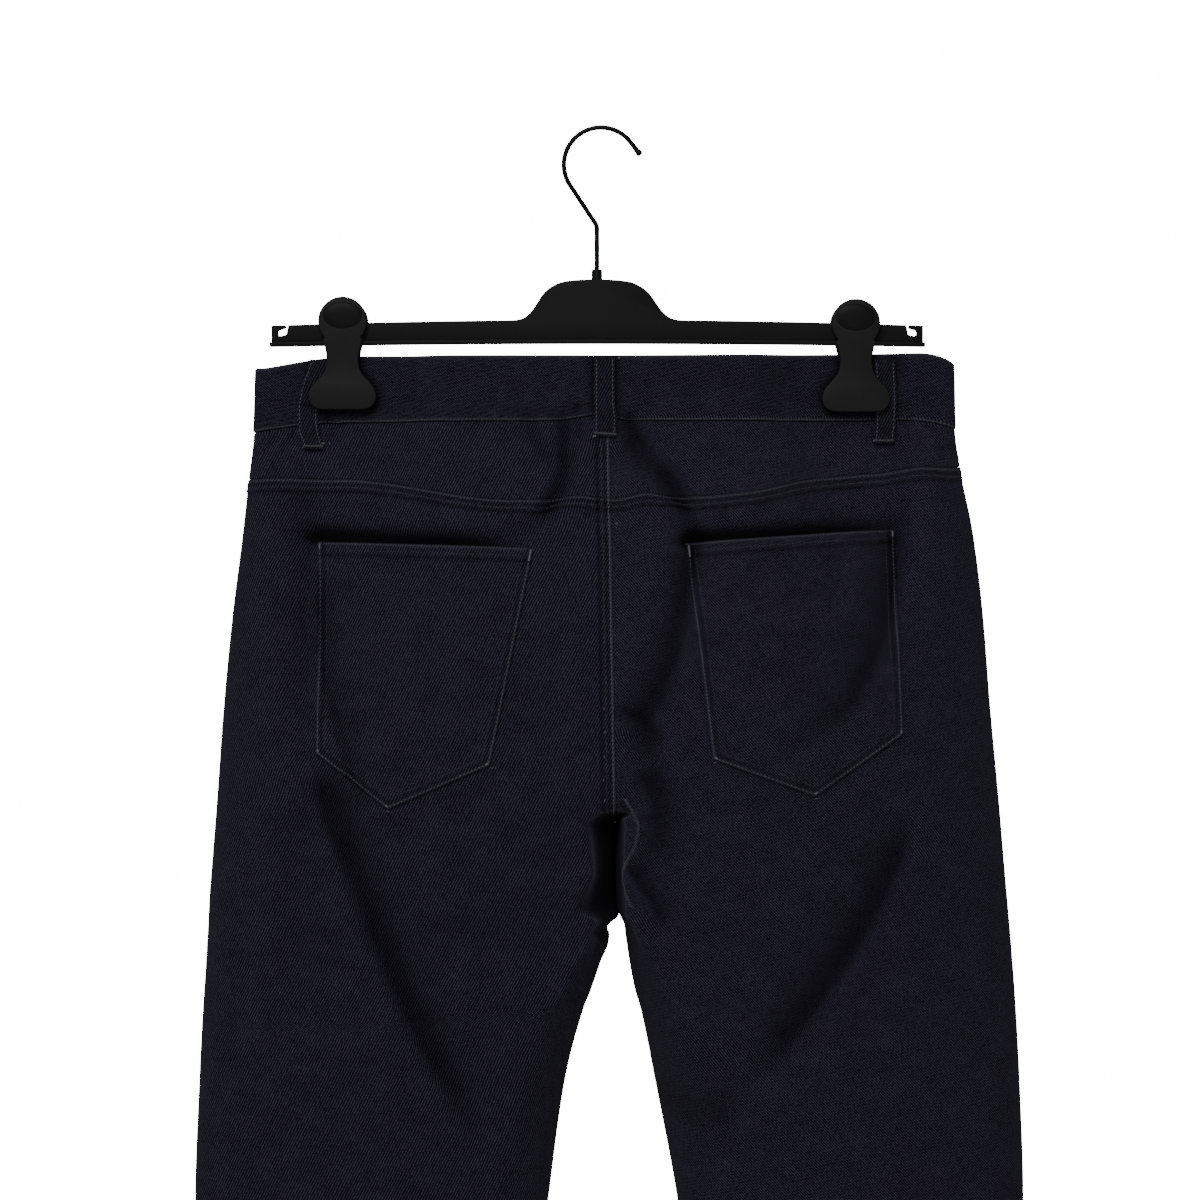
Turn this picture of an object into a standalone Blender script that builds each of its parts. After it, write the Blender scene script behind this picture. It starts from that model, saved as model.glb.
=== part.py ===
"""Tapered jeans hung by the waistband from a clip hanger, seen from the back.

Lengths are millimetres until MM turns them into Blender's metres. +Z is up, +X is to the
right as one faces the back of the jeans, and the back faces -Y. The origin is where the
hook bears on its rail. "left" is the wearer's left, at -X.
"""

import math
from collections import namedtuple

import bmesh
import bpy
import numpy as np
from mathutils import Vector

MM = 0.001

# Cloth
CLOTH = 1.5  # one layer of heavy denim
FACING_CLOTH = 1.2
BAND = 2.4  # the waistband, several layers sewn together
BAND_PROUD = 0.6  # how far the waistband stands out over the panels it holds
GAP = 0.3  # between pieces that are sewn to each other or lie on each other
HEM_HEIGHT = 13.0
HEM_EXTRA = 1.0  # the turned-up hem thickens the wall inwards

# Heights down the side seam
WAIST_TOP = -148.0
WAIST_SEAM = -188.0
YOKE_SEAM = -217.0
CROTCH = -475.0
LENGTHS_MEET = -670.0  # each leg panel is held as an upper and a lower length, end to end
FRONTS_MEET = -506.0  # a front panel's upper length ends here, and its thigh length begins
HEM = -1245.0

# Outline of the jeans from the back: a row for each height down the side seam. spread_left
# and spread_right move the back's rim out where the inner thighs part under the seat. The
# right side hangs a little differently: raise_right lifts its side seam, and hold_right
# keeps the droop nearer to the seam.
Outline = namedtuple(
    "Outline",
    "side_z outer_left outer_right inner_left inner_right"
    " spread_left spread_right raise_right hold_right",
)
OUTLINE = [
    Outline(-148, -213.4, 217.4, 1.9, 1.9, 0, 0, 0, 0.17),
    Outline(-188, -214.8, 218.4, 2.2, 2.2, 0, 0, 2, 0.12),
    Outline(-217, -218.0, 221.2, 2.8, 2.8, 0, 0, 8, 0),
    Outline(-254, -222.5, 230.4, 3.7, 3.7, 0, 0, 6, 0),
    Outline(-300, -228.3, 236.5, 4.6, 4.6, 0, 0, 3, 0),
    Outline(-360, -234.0, 241.5, 5.6, 5.6, 0, 0, 0, 0),
    Outline(-420, -238.3, 247.0, 6.8, 6.8, 0, 0, 0, 0),
    Outline(-440, -239.9, 248.7, 7.2, 7.2, -6, -2, 0, 0),
    Outline(-458, -241.3, 250.2, 7.8, 7.8, -5, 0, 0, 0),
    Outline(-475, -242.6, 251.7, 8.2, 8.2, -1, 4, 0, 0),
    Outline(-492, -243.4, 253.2, 8.1, 8.4, 5, -4, 0, 0),
    Outline(-506, -244.2, 254.4, 8.0, 8.8, 3, -5, 0, 0),
    Outline(-514, -244.7, 255.0, 4.4, 14.6, -2, -5, 0, 0),
    Outline(-530, -245.7, 256.2, 0.2, 17.8, -1, -2, 0, 0),
    Outline(-552, -247.1, 257.6, -10.6, 24.4, 0, 0, 0, 0),
    Outline(-589, -248.9, 259.5, -22.1, 33.3, 0, 0, 0, 0),
    Outline(-663, -251.5, 261.8, -32.6, 47.3, 0, 0, 0, 0),
    Outline(-775, -250.0, 258.0, -48.0, 61.0, 0, 0, 0, 0),
    Outline(-1000, -243.0, 250.0, -62.0, 71.0, 0, 0, 0, 0),
    Outline(-1245, -236.0, 243.0, -67.0, 75.0, 0, 0, 0, 0),
]

# How a panel's section runs at each of those heights. It goes from the side seam over the
# panel's face to a rim near its inner edge, and from there to the centre seam or inseam.
# flat_z is the height over most of the panel, and mid_z from the rim to the inner edge; the
# change to side_z is made between the shares fall_from and fall_to. rim is the rim's
# distance from the inner edge, and rim_y and inner_y are depths. shoulder, reach, bend, out
# and deep are handles of the two curves.
RIM_SHARE = 0.82
Section = namedtuple(
    "Section",
    "side_z flat_z mid_z fall_from fall_to shoulder reach rim rim_y bend inner_y out deep",
)
SECTIONS = {
    "back": [
        Section(-148, -141.0, -141.0, 0.6, 0.92, 20, 66, 34, 13, 11, 12, 11, 0),
        Section(-188, -179.5, -178.0, 0.6, 0.98, 23, 66, 34, 17, 11, 16, 11, 0),
        Section(-217, -230.0, -230.0, 0.28, 0.62, 32, 70, 34, 34, 11, 34, 11, 0),
        Section(-254, -259.0, -259.0, 0.15, 0.9, 38, 74, 34, 46, 11, 46, 11, 0),
        Section(-300, -301.0, -301.0, 0, 1, 43, 78, 34, 54, 11, 55, 11, 0),
        Section(-360, -360.0, -359.0, 0, 1, 48, 82, 34, 58, 11, 60, 11, 0),
        Section(-400, -400.0, -399.0, 0, 1, 51, 86, 33, 58, 11, 59, 11, 0),
        Section(-422, -422.0, -413.0, 0, 1, 53, 88, 32, 57, 10, 56, 11, 0),
        Section(-440, -440.0, -420.0, 0, 1, 54, 90, 24, 56, 8, 48, 10, 1),
        Section(-458, -458.0, -423.5, 0, 1, 55, 92, 17, 55, 6, 22, 5, 14),
        Section(-475, -475.0, -429.0, 0, 1, 55, 94, 12, 54, 4, -8, 0, 32),
        Section(-492, -492.0, -456.0, 0, 1, 55, 94, 11, 53, 4, -8, 0, 32),
        Section(-506, -506.0, -480.0, 0, 1, 55, 94, 11, 51, 4, -8, 0, 32),
        Section(-514, -514.0, -491.0, 0, 1, 55, 90, 14, 50, 6, -8, 0, 32),
        Section(-530, -530.0, -514.0, 0, 1, 54, 84, 20, 49, 9, -7, 0, 30),
        Section(-560, -560.0, -555.0, 0, 1, 52, 76, 26, 47, 12, -5, 0, 28),
        Section(-600, -600.0, -600.0, 0, 1, 49, 68, 32, 44, 14, -3, 0, 26),
        Section(-663, -663.0, -663.0, 0, 1, 43, 62, 35, 38, 15, 0, 0, 23),
        Section(-775, -775.0, -775.0, 0, 1, 28, 58, 33, 26, 15, 0, 0, 16),
        Section(-1000, -1000.0, -1000.0, 0, 1, 22, 54, 30, 20, 14, 0, 0, 12),
        Section(-1245, -1245.0, -1245.0, 0, 1, 18, 50, 28, 17, 13, 0, 0, 10),
    ],
    "front": [
        Section(-148, -149.0, -151.0, 0.6, 0.98, 20, 66, 34, 13, 11, 12, 11, 0),
        Section(-188, -189.0, -191.0, 0.6, 0.98, 23, 66, 34, 17, 11, 16, 11, 0),
        Section(-217, -218.0, -220.0, 0.2, 0.95, 28, 68, 34, 26, 11, 26, 11, 0),
        Section(-254, -255.0, -256.0, 0, 1, 32, 72, 34, 35, 11, 36, 11, 0),
        Section(-300, -300.0, -301.0, 0, 1, 36, 76, 34, 42, 11, 43, 11, 0),
        Section(-360, -360.0, -359.0, 0, 1, 41, 78, 34, 45, 11, 47, 11, 0),
        Section(-400, -400.0, -397.0, 0, 1, 43, 80, 34, 45, 11, 46, 11, 0),
        Section(-422, -422.0, -412.0, 0, 1, 44, 82, 33, 44, 11, 42, 11, 1),
        Section(-440, -440.0, -420.0, 0, 1, 44, 82, 30, 43, 10, 33, 9, 5),
        Section(-458, -458.0, -424.5, 0, 1, 44, 82, 26, 43, 10, 20, 5, 11),
        Section(-475, -475.0, -429.0, 0, 1, 44, 80, 23, 42, 10, 8, 1, 18),
        Section(-492, -492.0, -456.0, 0, 1, 44, 78, 22, 42, 10, 8, 0, 19),
        Section(-506, -506.0, -480.0, 0, 1, 44, 76, 22, 42, 10, 8, 0, 19),
        Section(-514, -514.0, -491.0, 0, 1, 44, 74, 23, 42, 10, 8, 0, 19),
        Section(-530, -530.0, -514.0, 0, 1, 44, 72, 25, 41, 11, 7, 0, 19),
        Section(-560, -560.0, -555.0, 0, 1, 43, 68, 29, 40, 13, 5, 0, 20),
        Section(-600, -600.0, -600.0, 0, 1, 41, 64, 33, 37, 14, 3, 0, 20),
        Section(-663, -663.0, -663.0, 0, 1, 36, 60, 35, 32, 15, 0, 0, 19),
        Section(-775, -775.0, -775.0, 0, 1, 26, 58, 33, 24, 15, 0, 0, 15),
        Section(-1000, -1000.0, -1000.0, 0, 1, 22, 54, 30, 20, 14, 0, 0, 12),
        Section(-1245, -1245.0, -1245.0, 0, 1, 18, 50, 28, 17, 13, 0, 0, 10),
    ],
}

# The hanger's clips pinch back and front together, and let go gradually further down.
CLIP_X = {"left": -159.7, "right": 157.5}
PINCH_Y = 2.5
Pinch = namedtuple("Pinch", "side_z strength held reach")
PINCH = [
    Pinch(-148, 1.0, 32, 72),
    Pinch(-176, 1.0, 32, 72),
    Pinch(-188, 0.95, 24, 70),
    Pinch(-217, 0.64, 6, 66),
    Pinch(-254, 0.36, 0, 66),
    Pinch(-300, 0.20, 0, 70),
    Pinch(-400, 0.0, 0, 80),
    Pinch(-1245, 0.0, 0, 80),
]

# Folds, a row each: troughs have a negative depth, ridges a positive one. A fold runs from
# its top to its foot with a bow to the right, and dies away at both ends.
Fold = namedtuple("Fold", "top_x top_z foot_x foot_z bow width depth")
FOLDS = {
    "back": [
        Fold(-170, -215, -172, -420, 4, 13, -6.0),
        Fold(-172, -360, -60, -650, -22, 15, -8.5),
        Fold(176, -255, 150, -400, 8, 16, -6.0),
        Fold(190, -400, 98, -590, 18, 17, -8.5),
        Fold(14, -190, 56, -262, 4, 11, -5.0),
        Fold(54, -235, 24, -390, 14, 11, -6.0),
        Fold(24, -345, 30, -425, 8, 15, -5.0),
        Fold(-24, -195, -46, -262, 6, 11, -3.5),
        Fold(-185, -400, -178, -560, 0, 20, -3.0),
        Fold(-92, -492, -14, -508, -4, 12, -3.0),
        Fold(-110, -290, -100, -420, 0, 42, 3.0),
        Fold(105, -290, 100, -420, 0, 42, 3.0),
        Fold(-150, -690, -120, -840, 8, 26, -4.0),
        Fold(150, -700, 135, -860, -8, 26, -4.0),
    ],
    "front": [
        Fold(-166, -210, -120, -400, -10, 18, -5.0),
        Fold(164, -210, 120, -400, 10, 18, -5.0),
        Fold(-14, -418, -110, -520, 12, 16, -5.0),
        Fold(26, -418, 118, -515, -12, 16, -5.0),
        Fold(-110, -470, -130, -640, 8, 22, -4.0),
        Fold(116, -480, 136, -650, -8, 22, -4.0),
        Fold(-190, -700, -130, -830, 6, 24, -3.5),
        Fold(90, -690, 160, -820, 6, 24, -3.5),
    ],
}
FOLD_FADE = 0.09  # share of a section, from the side seam, over which folds die away

# Rows of a panel's grid: a stretch for each spacing
Stretch = namedtuple("Stretch", "start end rows")
SEAT_ROWS = [
    Stretch(YOKE_SEAM, -400, 8),
    Stretch(-400, FRONTS_MEET, 12),
]
THIGH_ROWS = [
    Stretch(FRONTS_MEET, -560, 5),
    Stretch(-560, LENGTHS_MEET, 4),
]
LOWER_ROWS = [
    Stretch(LENGTHS_MEET, -1000, 5),
    Stretch(-1000, HEM + HEM_HEIGHT, 3),
    Stretch(HEM + HEM_HEIGHT, HEM, 1),
]
BACK_COLUMNS = 13, 4  # to the rim, and from it
FRONT_COLUMNS = 10, 3

# Back pockets, each corner as (x, z) on the panel
Pocket = namedtuple("Pocket", "top_outer top_inner low_inner tip low_outer")
BACK_POCKETS = {
    "left": Pocket((-173, -256), (-43, -260), (-67, -388), (-129, -413), (-171, -379)),
    "right": Pocket((179, -249), (55, -257), (70, -383), (132, -405), (182, -369)),
}
MOUTH_GAPE = 3.2  # how far a pocket's mouth stands off the seat
GAPE_DOWN = 70.0  # the gape dies away over this much below the mouth
GAPE_IN = 30.0  # and over this much at its sides

# Front pockets: the scooped mouth, as distances out from MOUTH_CENTRE and heights
MOUTH_CENTRE = 3.0
MouthPoint = namedtuple("MouthPoint", "out z")
MOUTH = [
    MouthPoint(94, -180),
    MouthPoint(106, -221),
    MouthPoint(150, -247),
    MouthPoint(240, -262),
]
IN_MOUTH = MouthPoint(190, -200)
FACING_UNDER = 14.0  # how far the facing runs on under the front
CUT_REACH = 60.0  # how far past its cut lines a sheet is split

# Fly
FLY_WIDTH = 38.0
FLY_OVERLAP = 6.0
FLY_TOP = -192.5
FLY_FOOT = -338.0
FLY_TURN = -292.0  # where the J starts to turn
FLY_CLOSE = 0.985  # share of its quarter turn that the J has made at its foot

# Rounds in which a point's side height is found, and the share of each correction taken
FIND_ROUNDS = 8
FIND_STEP = 0.62

# Belt loops: the middle of each loop and its foot
LOOP_WIDTH = 12.5
LOOP_THICK = 1.5
ABOVE_BAND = 2.0  # where a loop's top is measured, past the waistband's edge
LOOP_FOOT_FROM = 0.68  # share of a loop at which it starts to step down to its foot
LOOP_FOOT_RUN = 0.2
Loop = namedtuple("Loop", "name face x foot_x rise foot_z lift bow foot_lift")
BELT_LOOPS = [
    Loop("back_centre", "back", 2.6, 2.6, 2.0, -188.0, 0.3, 0.9, 0.2),
    Loop("back_left", "back", -178.0, -177.5, 0.6, -196.0, 0.4, 0.0, 1.1),
    Loop("back_right", "back", 176.0, 175.0, 0.6, -194.5, 0.5, 0.0, 1.0),
    Loop("front_left", "front", -98.0, -98.0, 0.8, -203.0, 0.3, 0.6, 0.0),
    Loop("front_right", "front", 100.0, 100.0, 0.8, -203.0, 0.3, 0.6, 0.0),
]

# Waistband lap at centre front
LAP_END = 8.0
LAP_Z = -170.0  # where the lap's end is measured
UNDERLAP_SHARE = 0.84
UNDERLAP_TUCK = 0.4  # between the lap and the underlap
TUCK_COLUMNS = 3
Run = namedtuple("Run", "face side start end columns")

# Button, as rings about its own axis from its back to its face
BUTTON_X = -9.0
BUTTON_Z = -171.0
BUTTON_STAND = 0.8  # its back from the waistband's cloth
BUTTON_SIDES = 24
Ring = namedtuple("Ring", "radius height")
BUTTON_RINGS = [
    Ring(0, 0),
    Ring(4.5, 0),
    Ring(4.5, 0.9),
    Ring(8.5, 1.1),
    Ring(8.5, 2.0),
    Ring(7.3, 2.6),
    Ring(5.0, 2.0),
    Ring(0, 1.9),
]

# Hanger's bar: a web with a flange along its foot and a hump in the middle
HANGER_X = -2.3
BAR_HALF = 203.0
BAR_TAB = 1.2  # the flange runs on past the web's ends
BAR_TOP = -118.6
BAR_FOOT = -132.0
BAR_WEB = 3.5  # half thickness
BAR_FLANGE = 5.5
FLANGE_HEIGHT = 2.4
FLANGE_DROP = 0.4  # below the web's foot
BAR_SAG = 1.9  # the arms' ends hang lower than the middle
HUMP_RISE = 25.0
HUMP_FLAT = 19.0
HUMP_FOOT = 52.0
HUMP_CROWN = 1.6
HUMP_COLUMNS = 28
ARM_COLUMNS = 4
FOOT_COLUMNS = 12

# Strap notches: a round eye near each end of the bar with a slanting mouth to its top edge
EYE_INSET = 7.2  # from the bar's end
EYE_Z = -125.9
EYE_RADIUS = 2.1
NOTCH_DEPTH = 9.0  # the cutter's half length
NotchPoint = namedtuple("NotchPoint", "inward rise")
NOTCH_MOUTH = [
    NotchPoint(3.3, -1.2),
    NotchPoint(5.4, 8.5),
    NotchPoint(1.6, 8.5),
    NotchPoint(3.0, 3.2),
]

# Collar on the hump, and the wire hook that stands in it
COLLAR_TOP = -86.0
COLLAR_RINGS = [
    Ring(0, COLLAR_TOP - 13.6),
    Ring(3.3, COLLAR_TOP - 13.6),
    Ring(3.1, COLLAR_TOP - 1.2),
    Ring(2.6, COLLAR_TOP),
    Ring(0, COLLAR_TOP),
]
COLLAR_SIDES = 20
SOCKET_DEPTH = 14.0
SOCKET_SIDES = 16
SOCKET_PAST = 5.0  # the cutter runs on over the collar
WIRE_RADIUS = 1.55
WIRE_SIDES = 12
STEM_X = -2.5
STEM_TOP = -74.0
CRANK_RADIUS = 7.0
CRANK_Z = -61.5
CRANK_FROM, CRANK_TO = -6, 30  # degrees from +X towards +Z, as are the hook's
HOOK_RADIUS = 23.0  # to the wire's centre
HOOK_FROM, HOOK_TO = 212, 38
HookTip = namedtuple("HookTip", "step swell")
HOOK_TIP = [
    HookTip(4.0, 1.0),
    HookTip(7.2, 1.1),
    HookTip(8.4, 1.35),
    HookTip(9.6, 1.3),
    HookTip(10.6, 0.75),
]

# Clips, each of two jaws: a round head, a neck, and a broad rounded paddle
CLIP_DROP = {"left": 0.0, "right": 1.4}
JAW_FACE = 5.8  # inner face of a jaw, from the middle plane
JAW_THICK = 3.0
JAW_ROOT = 1.0  # how far a pad or a boss runs into its jaw
HEAD_RADIUS = 15.1
HEAD_Z = -119.0
NeckPoint = namedtuple("NeckPoint", "half z")
NECK = [
    NeckPoint(10.8, -136.0),
    NeckPoint(10.0, -143.0),
    NeckPoint(10.8, -149.0),
    NeckPoint(14.6, -155.0),
]
PADDLE_HALF = 21.2
SHOULDER_RADIUS = 8.1
SHOULDER_Z = -161.2
PADDLE_CORNER = 7.5
PADDLE_FOOT = -173.8
PAD_FACE = 3.9
PAD_SPAN = {"left": (-9.5, 17.0), "right": (-17.0, 9.5)}  # clear of the belt loop beside it
PAD_TOP, PAD_FOOT = -163.0, -171.5
BOSS_RADIUS = 5.5
BOSS_LIFT = 0.5  # over the bar's top edge
BOSS_SIDES = 16


def column(table, name, at):
    """The named column of a table at side heights, through its rows with no overshoot."""
    heights = np.array([-row.side_z for row in table], float)
    values = np.array([getattr(row, name) for row in table], float)
    spans = np.diff(heights)
    slopes = np.diff(values) / spans
    ends = np.zeros(len(values))
    inner = slopes[:-1] * slopes[1:] > 0
    weight = 2 * spans[1:] + spans[:-1], spans[1:] + 2 * spans[:-1]
    with np.errstate(divide="ignore", invalid="ignore"):
        mean = (weight[0] + weight[1]) / (weight[0] / slopes[:-1] + weight[1] / slopes[1:])
    ends[1:-1] = np.where(inner, mean, 0)
    ends[0], ends[-1] = slopes[0], slopes[-1]
    at = np.clip(-np.asarray(at, float), heights[0], heights[-1])
    k = np.clip(np.searchsorted(heights, at, side="right") - 1, 0, len(spans) - 1)
    t = (at - heights[k]) / spans[k]
    return (
        values[k] * (1 + 2 * t) * (1 - t) ** 2
        + ends[k] * spans[k] * t * (1 - t) ** 2
        + values[k + 1] * t * t * (3 - 2 * t)
        + ends[k + 1] * spans[k] * t * t * (t - 1)
    )


def smooth(t):
    t = np.clip(t, 0, 1)
    return t * t * (3 - 2 * t)


def mix(a, b, t):
    return a + (b - a) * t


def fold_depth(face, x, z):
    """How far the folds move the cloth out at points of the back or the front."""
    total = np.zeros(np.broadcast(x, z).shape)
    for fold in FOLDS[face]:
        run = np.array([fold.foot_x - fold.top_x, fold.foot_z - fold.top_z])
        length = np.hypot(*run)
        run = run / length
        along = ((x - fold.top_x) * run[0] + (z - fold.top_z) * run[1]) / length
        aside = -(x - fold.top_x) * run[1] + (z - fold.top_z) * run[0]
        inside = np.clip(along, 0, 1)
        aside = aside - fold.bow * 4 * inside * (1 - inside)
        fade = smooth((along + 0.12) / 0.37) * smooth((1.12 - along) / 0.37)
        total = total + fold.depth * fade * np.exp(-((aside / fold.width) ** 2))
    return total


def curve(t, start, first, second, end):
    """A cubic curve's point from its ends and handles."""
    u = 1 - t
    return u**3 * start + 3 * u * u * t * first + 3 * u * t * t * second + t**3 * end


def skin(face, side, side_z, across):
    """Points of the cloth's outer surface. across is 0 at the side seam and 1 at the centre
    seam or the inseam."""
    side_z, across = np.broadcast_arrays(np.asarray(side_z, float), np.asarray(across, float))
    row = {name: column(SECTIONS[face], name, side_z) for name in Section._fields[1:]}
    towards = -1.0 if face == "back" else 1.0
    outwards = -1.0 if side == "left" else 1.0
    outer_x = column(OUTLINE, "outer_" + side, side_z)
    inner_x = column(OUTLINE, "inner_" + side, side_z)
    rim = row["rim"]
    if face == "back":
        rim = rim + column(OUTLINE, "spread_" + side, side_z)
    rim_x = inner_x + outwards * rim
    to_rim = np.clip(across / RIM_SHARE, 0, 1)
    past_rim = np.clip((across - RIM_SHARE) / (1 - RIM_SHARE), 0, 1)
    x = np.where(
        past_rim > 0,
        curve(past_rim, rim_x, rim_x - outwards * row["bend"],
              inner_x + outwards * row["out"], inner_x),
        curve(to_rim, outer_x, outer_x, rim_x + outwards * row["reach"], rim_x),
    )
    y = towards * np.where(
        past_rim > 0,
        curve(past_rim, row["rim_y"], row["rim_y"], row["inner_y"] + row["deep"], row["inner_y"]),
        curve(to_rim, 0, row["shoulder"], row["rim_y"], row["rim_y"]),
    )
    hold = column(OUTLINE, "hold_right", side_z) if side == "right" else 0
    fall_from, fall_to = row["fall_from"] + hold, np.minimum(row["fall_to"] + hold, 1)
    fall = smooth((1 - across - fall_from) / (fall_to - fall_from))
    z = row["flat_z"] + (side_z - row["flat_z"]) * fall
    z = z + (row["mid_z"] - row["flat_z"]) * smooth((across - 0.42) / (RIM_SHARE - 0.42))
    if side == "right":
        z = z + column(OUTLINE, "raise_right", side_z) * (1 - across) ** 2
    reach = column(PINCH, "reach", side_z)
    free = (reach - np.abs(x - CLIP_X[side])) / (reach - column(PINCH, "held", side_z))
    grip = column(PINCH, "strength", side_z) * smooth(free)
    y = mix(y, towards * np.minimum(np.abs(y), PINCH_Y), grip)
    leg = smooth((-400 - side_z) / 60)
    fade = smooth(across / FOLD_FADE) * mix(1, smooth((1 - across) / (1 - RIM_SHARE)), leg)
    y = y + towards * fade * fold_depth(face, x, z)
    return np.stack([x, y, z], -1)


def raw_normal(face, side, side_z, across):
    """The outward unit normal from differences taken inside the panel."""
    step_u, step_z = 0.004, 0.6
    low_u, high_u = np.clip(across - step_u, 0, 1), np.clip(across + step_u, 0, 1)
    low_z = np.maximum(side_z - step_z, HEM)
    high_z = np.minimum(side_z + step_z, WAIST_TOP)
    along = skin(face, side, side_z, high_u) - skin(face, side, side_z, low_u)
    up = skin(face, side, high_z, across) - skin(face, side, low_z, across)
    normal = np.cross(along, up)
    if (face == "back") == (side == "right"):
        normal = -normal
    return normal / np.maximum(np.linalg.norm(normal, axis=-1, keepdims=True), 1e-9)


def skin_normal(face, side, side_z, across):
    """The outward normal, shared along each seam by the panels that meet there."""
    other_face = "front" if face == "back" else "back"
    other_side = "right" if side == "left" else "left"
    side_z, across = np.broadcast_arrays(np.asarray(side_z, float), np.asarray(across, float))
    normal = raw_normal(face, side, side_z, across)
    over_side = raw_normal(other_face, side, side_z, across)
    over_centre = raw_normal(face, other_side, side_z, across)
    at_side = (across < 1e-6)[..., None]
    at_inner = (across > 1 - 1e-6)[..., None]
    above = (side_z > CROTCH + 1e-6)[..., None]
    normal = normal + np.where(at_side | (at_inner & ~above), over_side, 0)
    normal = normal + np.where(at_inner & above, over_centre, 0)
    return normal / np.linalg.norm(normal, axis=-1, keepdims=True)


def find(face, x, z):
    """(side_z, across) on each side, by its name, of a face's points at x and z."""
    x, z = np.broadcast_arrays(np.asarray(x, float), np.asarray(z, float))
    found = {}
    for side in ("left", "right"):
        side_z = z.copy()
        for _ in range(FIND_ROUNDS):
            low, high = np.zeros(x.shape), np.ones(x.shape)
            for _ in range(26):
                middle = (low + high) / 2
                short = skin(face, side, side_z, middle)[..., 0] < x
                if side == "right":
                    short = ~short
                low, high = np.where(short, middle, low), np.where(short, high, middle)
            short_of = z - skin(face, side, side_z, middle)[..., 2]
            side_z = np.clip(side_z + FIND_STEP * short_of, HEM, WAIST_TOP)
        found[side] = side_z, middle
    return found


def on_face(face, x, z):
    """Points and outward normals of a face at x and z, from the side that holds them."""
    found = find(face, x, z)
    points = {s: skin(face, s, *found[s]) for s in found}
    normals = {s: skin_normal(face, s, *found[s]) for s in found}
    left = (np.asarray(x) < column(OUTLINE, "inner_left", found["left"][0]))[..., None]
    return (
        np.where(left, points["left"], points["right"]),
        np.where(left, normals["left"], normals["right"]),
    )


def material(name, colour, roughness, metallic=0.0):
    made = bpy.data.materials.new(name)
    made.use_nodes = True
    shader = made.node_tree.nodes["Principled BSDF"]
    shader.inputs["Base Color"].default_value = (*colour, 1)
    shader.inputs["Roughness"].default_value = roughness
    shader.inputs["Metallic"].default_value = metallic
    made.diffuse_color = (*colour, 1)
    return made


def add_object(name, mesh, finish):
    made = bpy.data.objects.new(name, mesh)
    made.data.materials.append(finish)
    bpy.context.scene.collection.objects.link(made)
    return made


def cloth_sheet(points, normals):
    """A sheet through a grid of points, each with its normal kept in a layer."""
    rows, columns = points.shape[0] - 1, points.shape[1] - 1
    sheet = bmesh.new()
    bmesh.ops.create_grid(sheet, x_segments=columns, y_segments=rows, size=0.5)
    normal = sheet.verts.layers.float_vector.new("normal")
    for vertex in sheet.verts:
        at = round((0.5 - vertex.co.y) * rows), round((0.5 + vertex.co.x) * columns)
        vertex.co = Vector(points[at]) * MM
        vertex[normal] = Vector(normals[at])
    bmesh.ops.triangulate(sheet, faces=sheet.faces[:], quad_method="SHORT_EDGE")
    return sheet


def cut_lines(points, inside):
    """(start, unit way inwards) of each straight edge through points of (x, z)."""
    lines = []
    for start, end in zip(points, points[1:]):
        start, run = np.array(start, float), np.subtract(end, start)
        inward = np.array([run[1], -run[0]]) / np.hypot(*run)
        lines.append((start, inward * np.sign(inward @ (np.array(inside) - start))))
    return lines


def depths(vertex_co, lines):
    """How far inside each line a point is, in millimetres."""
    at = np.array([vertex_co.x, vertex_co.z]) / MM
    return [float((at - start) @ inward) for start, inward in lines]


def cut(sheet, lines, clear):
    """Cuts a sheet along upright planes, and where wanted clears what is outside them."""
    for start, inward in lines:
        faces = sheet.faces[:]
        if not clear:
            faces = [f for f in faces if min(depths(f.calc_center_median(), lines)) > -CUT_REACH]
        parts = dict.fromkeys(part for f in faces for part in (f, *f.edges, *f.verts))
        bmesh.ops.bisect_plane(
            sheet, geom=list(parts), dist=1e-7, plane_co=(start[0] * MM, 0, start[1] * MM),
            plane_no=(-inward[0], 0, -inward[1]), clear_outer=clear,
        )


def thicken(name, sheet, thickness, finish):
    """Gives a sheet a back face, thickness(vertex) millimetres behind it, and its edges."""
    normal = sheet.verts.layers.float_vector["normal"]
    made = bmesh.ops.extrude_face_region(sheet, geom=sheet.faces[:], use_keep_orig=True)
    for vertex in made["geom"]:
        if isinstance(vertex, bmesh.types.BMVert):
            vertex.co -= vertex[normal] * (thickness(vertex) * MM)
    bmesh.ops.recalc_face_normals(sheet, faces=sheet.faces[:])
    mesh = bpy.data.meshes.new(name)
    sheet.to_mesh(mesh)
    sheet.free()
    mesh.shade_smooth()
    mesh.set_sharp_from_angle(angle=math.radians(50))
    return add_object(name, mesh, finish)


def wall(name, points, normals, finish, thick=CLOTH):
    return thicken(name, cloth_sheet(points, normals), lambda vertex: thick, finish)


def trimmed(points, first=True, last=True):
    """Moves the side edges of a grid of points in by half the seam gap."""
    points = points.copy()
    for wanted, edge, neighbour in ((first, 0, 1), (last, -1, -2)):
        if not wanted:
            continue
        seam = np.gradient(points[:, edge], axis=0)
        seam /= np.linalg.norm(seam, axis=-1, keepdims=True)
        into = points[:, neighbour] - points[:, edge]
        into -= (into * seam).sum(-1, keepdims=True) * seam
        points[:, edge] += into * GAP / 2 / np.linalg.norm(into, axis=-1, keepdims=True)
    return points


def stretch_levels(stretches):
    levels = [np.linspace(s.start, s.end, s.rows + 1)[:-1] for s in stretches]
    return np.append(np.concatenate(levels), stretches[-1].end)


def shares(columns):
    """Shares of a section from the side seam, some to its rim and some past it."""
    return np.append(
        np.linspace(0, RIM_SHARE, columns[0] + 1)[:-1], np.linspace(RIM_SHARE, 1, columns[1] + 1)
    )


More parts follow.
